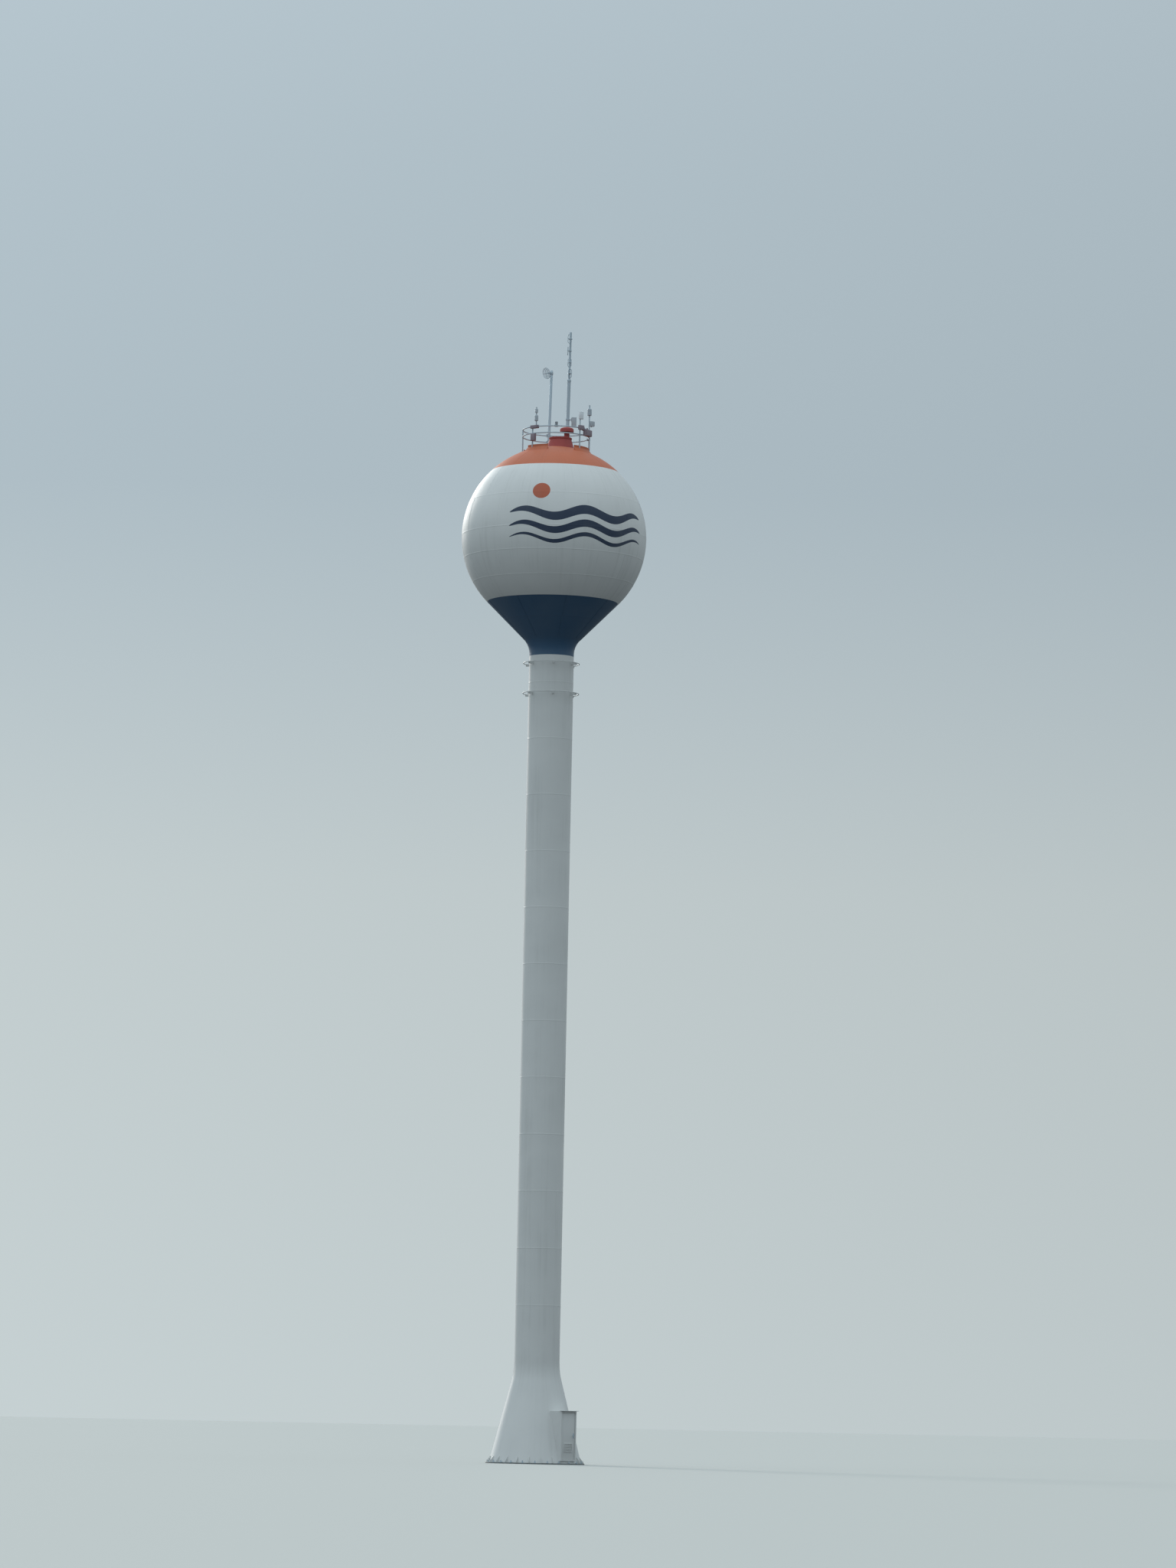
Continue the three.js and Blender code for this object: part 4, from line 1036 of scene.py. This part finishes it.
def u_bolt(pole_radius):
    """A level U-bolt round a pole that stands at the origin: a half circle with two legs to +X,
    and a nut on each leg."""
    turn = np.linspace(np.pi / 2, 1.5 * np.pi, 13)
    reach, end = pole_radius + mm(8), pole_radius + mm(60)
    bow = np.stack([reach * np.cos(turn), reach * np.sin(turn)], 1)
    flat = np.vstack([(end, reach), bow, (end, -reach)])
    bar = bent_bar(np.insert(flat, 2, 0, axis=1), mm(7), (0, 0, 1), sides=8)
    return join(bar, *(move(aim(nut(mm(13), mm(12)), (1, 0, 0)), (pole_radius + mm(45), y, 0))
                       for y in (-reach, reach)))


def rail_clamp(x, y, pole_radius, ring_z):
    """Two clamp plates from a pole to the handrail's ring, with U-bolts above and below."""
    out = math.hypot(x, y)
    near, far = out - mm(30), RAIL_RADIUS + mm(45)
    plates = [block((far - near, *mm(120, 20)), ((far + near) / 2, 0, ring_z + dz), mm(4))
              for dz in mm(-37, 37)]
    bolts = [move(u_bolt(pole_radius), (out, 0, ring_z + dz)) for dz in mm(-60, 60)]
    return spin(join(*plates, *bolts), math.degrees(math.atan2(y, x)))


def foot_plate(pole_radius):
    """A small round plate for a pole's foot."""
    radius, thick = pole_radius + mm(30), mm(12)
    return lathe([(0, -thick), (radius, -thick), (radius, thick / 2), (radius - mm(10), thick),
                  (0, thick)], sides=32)


print("a U-bolt has", len(u_bolt(mm(50))[1]), "faces")

# %% [markdown]
# The dipole mast
# The mast is a stepped steel pipe. Four folded dipoles stand off it, each a closed loop of round
# tube on a short boom, turned to a different side so that together they serve all round.

# %% Dipole mast
MAST_X, MAST_Y, MAST_LOWER, MAST_UPPER = mm(465, 1235, 74, 48)
MAST_LEAN = 0.84
MAST_STEP, MAST_TOP = above(7.2) - POLE_FOOT_Z, above(9.29) - POLE_FOOT_Z
ROOF_OVER_FOOT = mm(170)
BAY_HEIGHTS = (8.98, 8.46, 7.95, 7.45)
BAY_AZIMUTHS = (-120, 175, 95, -75)
LOOP_HEIGHT, LOOP_WIDTH, LOOP_OFFSET, LOOP_BAR = mm(380, 140, 100, 13)


def dipole(level, azimuth):
    """A folded dipole: a stadium of tube in an upright plane, on a boom from the mast."""
    turn = np.linspace(0, np.pi, 9)
    arch = np.stack([LOOP_WIDTH / 2 * np.cos(turn), LOOP_WIDTH / 2 * np.sin(turn)], 1)
    rise = LOOP_HEIGHT / 2 - LOOP_WIDTH / 2
    flat = np.vstack([arch + (0, rise), -arch - (0, rise)])
    loop = bent_bar(np.insert(flat, 0, LOOP_OFFSET, axis=1), LOOP_BAR, (1, 0, 0), sides=10, closed=True)
    boom = rod((0, 0, 0), (LOOP_OFFSET + mm(10), 0, 0), mm(13))
    feed = block((mm(34), LOOP_WIDTH + mm(20), mm(36)), (LOOP_OFFSET, 0, 0), mm(6))
    saddle = block(mm(120, 120, 50), edge=mm(8))
    return move(spin(join(loop, boom, feed, saddle), azimuth), (0, 0, level))


mast_pipe = lathe([(0, 0), (MAST_LOWER, 0), (MAST_LOWER, MAST_STEP - mm(30)), (MAST_UPPER, MAST_STEP),
                   (MAST_UPPER, MAST_TOP - mm(20)), (mm(20), MAST_TOP), (0, MAST_TOP)], sides=28)
collar_radius = MAST_LOWER + mm(12)
collar = lathe([(0, MAST_STEP - mm(120)), (collar_radius, MAST_STEP - mm(120)),
                (collar_radius, MAST_STEP - mm(30)), (0, MAST_STEP - mm(20))], sides=28)
bays = [dipole(above(z) - POLE_FOOT_Z, azimuth) for z, azimuth in zip(BAY_HEIGHTS, BAY_AZIMUTHS)]
mast = lean(join(mast_pipe, collar, *bays), MAST_LEAN, MAST_X, MAST_Y)
mast_foot_x = MAST_X + math.tan(math.radians(MAST_LEAN)) * ROOF_OVER_FOOT
mast_foot = on_roof(foot_plate(MAST_LOWER), mast_foot_x, MAST_Y)
clamps = [rail_clamp(MAST_X, MAST_Y, MAST_LOWER, z) for z in (RAIL_TOP_Z, RAIL_MIDDLE_Z)]
piece("dipole_mast_pipe", join(mast, mast_foot, *clamps), zinc_steel, ["dipole_mast"])

# %% [markdown]
# Radio housings
# Outdoor radios are finned castings with connectors underneath. One function draws a housing at
# the origin with its fins to +X, and each radio is that housing at its own size.

# %% Radio housings
def housing(size, fins, plugs):
    """A rounded case. Its front, towards +X, has upright fins, and its foot has connectors."""
    depth, width, height = size
    body = block((0.7 * depth, width, height), (-0.15 * depth, 0, 0), mm(12))
    fin_size = (depth * 0.34, mm(7), height * 0.9)
    ribs = [block(fin_size, (depth * 0.33, y, 0), mm(2)) for y in np.linspace(-0.42, 0.42, fins) * width]
    x, z = -depth * 0.1, -height / 2
    connectors = [rod((x, y, z + mm(4)), (x, y, z - mm(30)), mm(13), sides=12)
                  for y in np.linspace(-0.28, 0.28, plugs) * width]
    return join(body, *ribs, *connectors)


radio_x, radio_z = mm(765), above(5.31)
arm_z = radio_z + mm(100)
case = move(spin(housing(mm(120, 220, 420), fins=9, plugs=3), 90), (radio_x, MAST_Y, radio_z))
yoke = block(mm(40, 70, 140), (radio_x - mm(110), MAST_Y, arm_z), mm(5))
piece("mast_radio_case", join(case, yoke), grey_coat, ["mast_radio"])
arm = rod((MAST_X + mm(20), MAST_Y, arm_z), (radio_x, MAST_Y, arm_z), mm(25))
strap = block(mm(172, 172, 50), (mm(491), MAST_Y, arm_z), mm(8))
piece("mast_radio_arm", join(arm, strap), zinc_steel)

# %% [markdown]
# The grid dish
# The aerial on the shorter pole looks half clear in the photo: its bowl is a grid of thin bars.
# Every bar follows the bowl, a paraboloid z = depth (2 r / diameter)^2, so each is worked out as
# a chord of the bowl and bent to it.

# %% Dish pole
DISH_X, DISH_Y, DISH_PIPE = mm(-335, 1300, 62)
DISH_LEAN = 1.1
DISH_TOP = above(7.58) - POLE_FOOT_Z
dish_pipe = lathe([(0, 0), (DISH_PIPE, 0), (DISH_PIPE, DISH_TOP - mm(20)),
                   (DISH_PIPE - mm(12), DISH_TOP), (0, DISH_TOP)], sides=28)
dish_foot = on_roof(foot_plate(DISH_PIPE), DISH_X, DISH_Y)
dish_clamps = [rail_clamp(DISH_X, DISH_Y, DISH_PIPE, z) for z in (RAIL_TOP_Z, RAIL_MIDDLE_Z)]
dish_pole = join(lean(dish_pipe, DISH_LEAN, DISH_X, DISH_Y), dish_foot, *dish_clamps)
piece("dish_pole_pipe", dish_pole, zinc_steel, ["dish_pole"])

# %% [markdown]
# The bowl's bars run level, close together, on three upright ribs inside a round rim. In front, a
# thin boom carries the small feed at the focus.

# %% Grid dish
DISH_RADIUS, DISH_DEPTH = mm(240, 85)
DISH_CENTRE = np.array([*mm(-410, 1120), above(7.44)])
DISH_AIM = np.array([-0.72, -0.63, -0.29])
BOWL_BARS = 23


def chord_bar(offset, radius, upright=False):
    """A bar across the bowl at an offset from its middle, bent to the bowl. It lies in one
    plane, and its height over a point (x, y) is depth (x^2 + y^2) / radius^2."""
    half = math.sqrt(DISH_RADIUS ** 2 - offset ** 2)
    run = np.linspace(-half, half, 13)
    x, y = (np.full(13, offset), run) if upright else (run, np.full(13, offset))
    z = DISH_DEPTH * (x ** 2 + y ** 2) / DISH_RADIUS ** 2
    return bent_bar(np.stack([x, y, z], 1), radius, (1, 0, 0) if upright else (0, 1, 0), sides=6)


grid_bars = [chord_bar(y, mm(3.8)) for y in np.linspace(-0.95, 0.95, BOWL_BARS) * DISH_RADIUS]
ribs = [chord_bar(x, mm(7), True) for x in np.array([-0.42, 0, 0.42]) * DISH_RADIUS]
rim = hoop(DISH_RADIUS, mm(8), DISH_DEPTH, sides=48, around_bar=8)
focus = DISH_RADIUS ** 2 / (4 * DISH_DEPTH)
boom = rod((0, 0, -mm(30)), (0, 0, focus), mm(10), sides=10)
feed = move(block(mm(110, 30, 40), edge=mm(8)), (0, 0, focus))
dish = move(aim(join(*grid_bars, *ribs, rim, boom, feed), DISH_AIM), DISH_CENTRE)
pole_x = DISH_X + math.tan(math.radians(DISH_LEAN)) * (DISH_CENTRE[2] - POLE_FOOT_Z)
grip_z = DISH_CENTRE[2] + mm(20)
back_arm = rod(DISH_CENTRE, (pole_x, DISH_Y, grip_z), mm(22))
back_grip = block(mm(150, 150, 110), (pole_x, DISH_Y, grip_z), mm(12))
piece("dish_grid_bowl", join(dish, back_arm, back_grip), zinc_steel, ["grid_dish"])

# %% [markdown]
# Small aerials on the rail
# Several small aerials, radios and boxes hang on the handrail. Each is drawn as if it stood on
# the +X side, at the ring's radius, and is then turned to its place. An upright aerial hides in
# a radome, a closed plastic tube. The right one has its own pole, which stands on the roof.

# %% Upright aerials
LEFT_AZIMUTH, OUTER_AZIMUTH = -127, 18
OUTER_OUT = mm(1505)


def radome(low, high, radius, out):
    """An upright plastic tube with a drawn-in foot and a crown rounded by a quarter circle."""
    turn = np.linspace(0, np.pi / 2, 6)
    crown_radius = 0.5 * radius
    top = np.stack([radius - crown_radius + crown_radius * np.cos(turn),
                    high - crown_radius + crown_radius * np.sin(turn)], 1)
    profile = np.vstack([[(0, low), (radius * 0.9, low), (radius, low + radius * 0.1)], top, [(0, high)]])
    return move(lathe(profile, sides=28), (out, 0, 0))


def rail_saddle(level=RAIL_TOP_Z, out=RAIL_RADIUS, reach=mm(100)):
    """Two plates that grip a ring, with a bolt at each corner."""
    plates = [block((reach, *mm(100, 18)), (out, 0, level + dz), mm(4)) for dz in mm(-36, 36)]
    bolts = [rod((out + dx, dy, level - mm(50)), (out + dx, dy, level + mm(50)), mm(6), sides=8)
             for dx in (-0.4 * reach, 0.4 * reach) for dy in mm(-35, 35)]
    return join(*plates, *bolts)


left_aerial = join(radome(above(4.95), above(5.2), mm(80), RAIL_RADIUS),
                   radome(above(5.31), above(5.48), mm(65), RAIL_RADIUS),
                   rod((RAIL_RADIUS, 0, above(4.77)), (RAIL_RADIUS, 0, above(5.55)), mm(30)))
piece("left_aerial_radome", spin(left_aerial, LEFT_AZIMUTH), grey_gel_coat, ["left_aerial"])

outer_foot = lathe([(0, 0), (mm(70), 0), mm(70, 12), mm(0, 12)], sides=24)
outer_pole = join(rod((OUTER_OUT, 0, roof_z(OUTER_OUT)), (OUTER_OUT, 0, above(5.95)), mm(30)),
                  on_roof(outer_foot, OUTER_OUT), rail_saddle(RAIL_TOP_Z, *mm(1475, 160)),
                  rail_saddle(RAIL_MIDDLE_Z, *mm(1475, 160)))
piece("outer_aerial_pole", spin(outer_pole, OUTER_AZIMUTH), zinc_steel, ["outer_aerial"])
outer_tube = radome(above(5.49), above(5.79), mm(95), OUTER_OUT)
piece("outer_aerial_radome", spin(outer_tube, OUTER_AZIMUTH), dark_gel_coat)

# %% [markdown]
# The flat panel aerial is a shallow tray of plastic in front of a short pole, with a flat
# bracket of the same colour between them.

# %% Panel aerial
PANEL_AZIMUTH = -45
panel_z = above(5.25)
panel_tray = block(mm(85, 240, 340), (RAIL_RADIUS + mm(62.5), 0, panel_z), mm(20))
panel_back = block(mm(30, 100, 200), (RAIL_RADIUS + mm(20), 0, panel_z), mm(6))
panel = join(panel_tray, panel_back)
piece("panel_aerial_tray", spin(panel, PANEL_AZIMUTH), gel_coat, ["panel_aerial"])
panel_pole = join(rod((RAIL_RADIUS, 0, RAIL_TOP_Z), (RAIL_RADIUS, 0, above(5.4)), mm(28)), rail_saddle())
piece("panel_aerial_pole", spin(panel_pole, PANEL_AZIMUTH), zinc_steel)

# %% [markdown]
# Boxes on the rail
# The boxes under the aerials are plain powder-coated sheet. Each has a body and a lid with a
# seam between them, two hinge pins and a catch. The largest hangs from two brackets on the top
# ring, and a finned radio sits on the outer aerial's pole.

# %% Boxes on the rail
def cabinet(size, out, z):
    """A box with a door to +X: a body, a lid set a little proud, two hinge pins and a catch."""
    depth, width, height = size
    body = block((depth * 0.8, width, height), (out - depth * 0.1, 0, z), mm(8))
    lid = block((depth * 0.18, width - mm(12), height - mm(12)), (out + depth * 0.39, 0, z), mm(10))
    x, y = out + depth * 0.3, -width / 2
    pins = [rod((x, y, middle - mm(20)), (x, y, middle + mm(20)), mm(8), sides=10)
            for middle in (z - height * 0.33, z + height * 0.33)]
    catch = block(mm(16, 25, 50), (out + depth * 0.48, width * 0.38, z), mm(4))
    return join(body, lid, *pins, catch)


for name, node, size, out, level, azimuth in (
        ("left_post_case", "left_post_box", mm(140, 220, 320), mm(1513), 4.24, -130.8),
        ("left_rail_junction_case", "left_rail_case", mm(150, 400, 140), RAIL_RADIUS, 4.7, -130.5),
        ("right_rail_junction_case", "right_rail_case", mm(140, 260, 200), mm(1530), 4.71, -45)):
    piece(name, spin(cabinet(size, out, above(level)), azimuth), powder_coat, [node])

hangers = [block(mm(100, 40, 160), (mm(1450), y, above(4.68)), mm(6)) for y in mm(-150, 150)]
hung_case = join(cabinet(mm(200, 460, 280), mm(1573), above(4.515)), *hangers)
piece("right_hung_cabinet", spin(hung_case, -30), powder_coat, ["right_cabinet"])
outer_case = move(housing(mm(210, 150, 230), fins=7, plugs=2), (mm(1630), 0, above(5.125)))
piece("outer_radio_case", spin(outer_case, OUTER_AZIMUTH), grey_coat, ["outer_radio"])

# %% [markdown]
# A small lamp sits on the front of the top ring: a cast foot, a ribbed lens and a cap. The ribs
# of the lens are a wave along its profile.

# %% Rail lamp
LENS_RIBS = 8
LENS_Z, LENS_HEIGHT, LENS_RADIUS, RIB_DEPTH = above(4.76), *mm(100, 62, 3)
t = np.linspace(0, 1, 33)
lens_radius = LENS_RADIUS + RIB_DEPTH * np.cos(t * 2 * np.pi * LENS_RIBS)
lens_side = np.stack([lens_radius, LENS_Z + t * LENS_HEIGHT], 1)
lens = np.vstack([[(0, LENS_Z)], lens_side, [(0, LENS_Z + LENS_HEIGHT)]])
lamp_cap = [(0, above(4.86)), (mm(70), above(4.86)), (mm(70), above(4.875)), (mm(55), above(4.895)),
            (0, above(4.9))]
lamp_foot = block(mm(110, 150, 90), (0, 0, RAIL_TOP_Z), mm(12))
lamp = join(lamp_foot, lathe(lens, sides=32), lathe(lamp_cap, sides=32))
piece("rail_lamp_head", spin(move(lamp, (RAIL_RADIUS, 0, 0)), -90), grey_coat, ["rail_lamp"])

# %% [markdown]
# Camera
# The photo was taken from about 270 m away with a long lens, from eye height, and the camera was
# a little tilted. The model is half size, so the camera stands at half that distance. Its
# rotation is built from its own right, up and backward directions.

# %% Camera
CAMERA_DISTANCE, EYE_HEIGHT = 268.7 * SCALE, 1.6 * SCALE
YAW, PITCH, ROLL = (math.radians(d) for d in (0.3598, 5.8704, -1.1508))
FOCAL_PIXELS, FRAME_PIXELS, SENSOR_MM = 8170, 2048, 36
FAR_CLIP = 12000


def stand(obj, right, up, back, place=(0, 0, 0)):
    """Puts an object at a place, with its own X, Y and Z along three unit directions."""
    matrix = np.eye(4)
    matrix[:3] = np.stack([right, up, back, place], 1)
    obj.matrix_world = Matrix(matrix.tolist())


forward = np.array([math.sin(YAW) * math.cos(PITCH), math.cos(YAW) * math.cos(PITCH), math.sin(PITCH)])
level_right = np.array([math.cos(YAW), -math.sin(YAW), 0.0])
level_up = np.cross(level_right, forward)
right = level_right * math.cos(ROLL) - level_up * math.sin(ROLL)
upward = level_right * math.sin(ROLL) + level_up * math.cos(ROLL)
camera = put("photo_camera", bpy.data.cameras.new("photo_camera"))
stand(camera, right, upward, -forward, (0, -CAMERA_DISTANCE, EYE_HEIGHT))
camera.data.sensor_width = SENSOR_MM
camera.data.lens = SENSOR_MM * FOCAL_PIXELS / FRAME_PIXELS
camera.data.clip_end = FAR_CLIP
bpy.context.scene.camera = camera
print("lens", round(camera.data.lens, 1), "mm at", CAMERA_DISTANCE, "m")

# %% [markdown]
# Floor
# The floor is a wide, plain, pale disc, just under the tower. The ground below the real tower is
# darker, so the disc is hidden from diffuse and glossy rays, and doesn't light the ball from
# beneath.

# %% Floor
FLOOR_RADIUS, FLOOR_TOP_Z, FLOOR_FOOT_Z = 5000, -0.001, -0.02
floor_disc = lathe([(0, FLOOR_FOOT_Z), (FLOOR_RADIUS, FLOOR_FOOT_Z), (FLOOR_RADIUS, FLOOR_TOP_Z),
                    (0, FLOOR_TOP_Z)], sides=96)
floor = put("floor", mesh_of("floor", floor_disc))
floor_finish, _, floor_shader = new_finish("floor_matt_pale")
floor_shader["Base Color"].default_value = linear("#b4b6b2")
floor_shader["Roughness"].default_value = 0.9
floor.data.materials.append(floor_finish)
floor.visible_diffuse = False
floor.visible_glossy = False
print("floor radius, metres:", FLOOR_RADIUS)

# %% [markdown]
# Clouded sky
# The day in the photo is overcast. By the standard formula, a clouded sky is three times as
# bright overhead as at the horizon. In this photo a haze is brighter low down than the formula
# says, so the sky is a short list of levels: the sine of the height angle, a share of the full
# brightness, and a tint. Just below the horizon it turns dark, as the ground is. The clouds are
# thinner on the left, so the strength falls a little towards the right.

# %% Clouded sky
LEFT_STRENGTH, RIGHT_STRENGTH = 1.29, 1.04
LEFT_EDGE, RIGHT_EDGE = -0.1, 0.3
CLOUD, LOW_CLOUD, HAZE = (0.87, 1.0, 1.08), (0.83, 1.0, 1.1), (0.89, 1.0, 1.02)
GROUND_SHARE = 0.1
SKY_LEVELS = ((-1.0, GROUND_SHARE, CLOUD), (-0.035, GROUND_SHARE, CLOUD), (-0.025, 0.5, HAZE),
              (0.085, 0.475, HAZE), (0.15, 0.4, LOW_CLOUD), (0.2, 0.42, LOW_CLOUD), (1.0, 1.0, CLOUD))
world = bpy.data.worlds.new("overcast")
world.use_nodes = True
bpy.context.scene.world = world
sky = world.node_tree
way = add(sky, "TexCoord", output="Generated")
east, _, height = add(sky, "SeparateXYZ", [way]).node.outputs
bands = add(sky, "ValToRGB", [add(sky, "MapRange", [height, -1.0, 1.0])])
stops = bands.node.color_ramp.elements
while len(stops) < len(SKY_LEVELS):
    stops.new(0.5)
for stop, (level, share, tint) in zip(stops, SKY_LEVELS):
    stop.position = (level + 1) / 2
    stop.color = (*(share * part for part in tint), 1.0)
sky.links.new(bands, sky.nodes["Background"].inputs["Color"])
across = add(sky, "MapRange", [east, LEFT_EDGE, RIGHT_EDGE, LEFT_STRENGTH, RIGHT_STRENGTH])
sky.links.new(across, sky.nodes["Background"].inputs["Strength"])
bpy.context.scene.view_settings.view_transform = "Standard"
print("sky strength on the left", LEFT_STRENGTH, "and on the right", RIGHT_STRENGTH)

# %% [markdown]
# Soft sun
# Behind on the left the clouds are thinnest. A sun lamp stands for that bright patch. It is so
# wide that its shadows have no hard edge.

# %% Soft sun
SUN_AZIMUTH, SUN_HEIGHT, SUN_WIDTH = (math.radians(d) for d in (114, 18, 16))
SUN_ENERGY, SUN_COLOUR = 1.5, (1.0, 0.97, 0.92)
cloud = bpy.data.lights.new("bright_cloud_left", "SUN")
cloud.angle, cloud.energy, cloud.color = SUN_WIDTH, SUN_ENERGY, SUN_COLOUR
sun_side = np.array([-math.sin(SUN_AZIMUTH), math.cos(SUN_AZIMUTH), 0.0])
sun_way = np.array([math.cos(SUN_AZIMUTH) * math.cos(SUN_HEIGHT),
                    math.sin(SUN_AZIMUTH) * math.cos(SUN_HEIGHT), math.sin(SUN_HEIGHT)])
stand(put("bright_cloud_left", cloud), sun_side, np.cross(sun_way, sun_side), sun_way)
print("sun energy", SUN_ENERGY, "over", round(math.degrees(SUN_WIDTH)), "degrees")
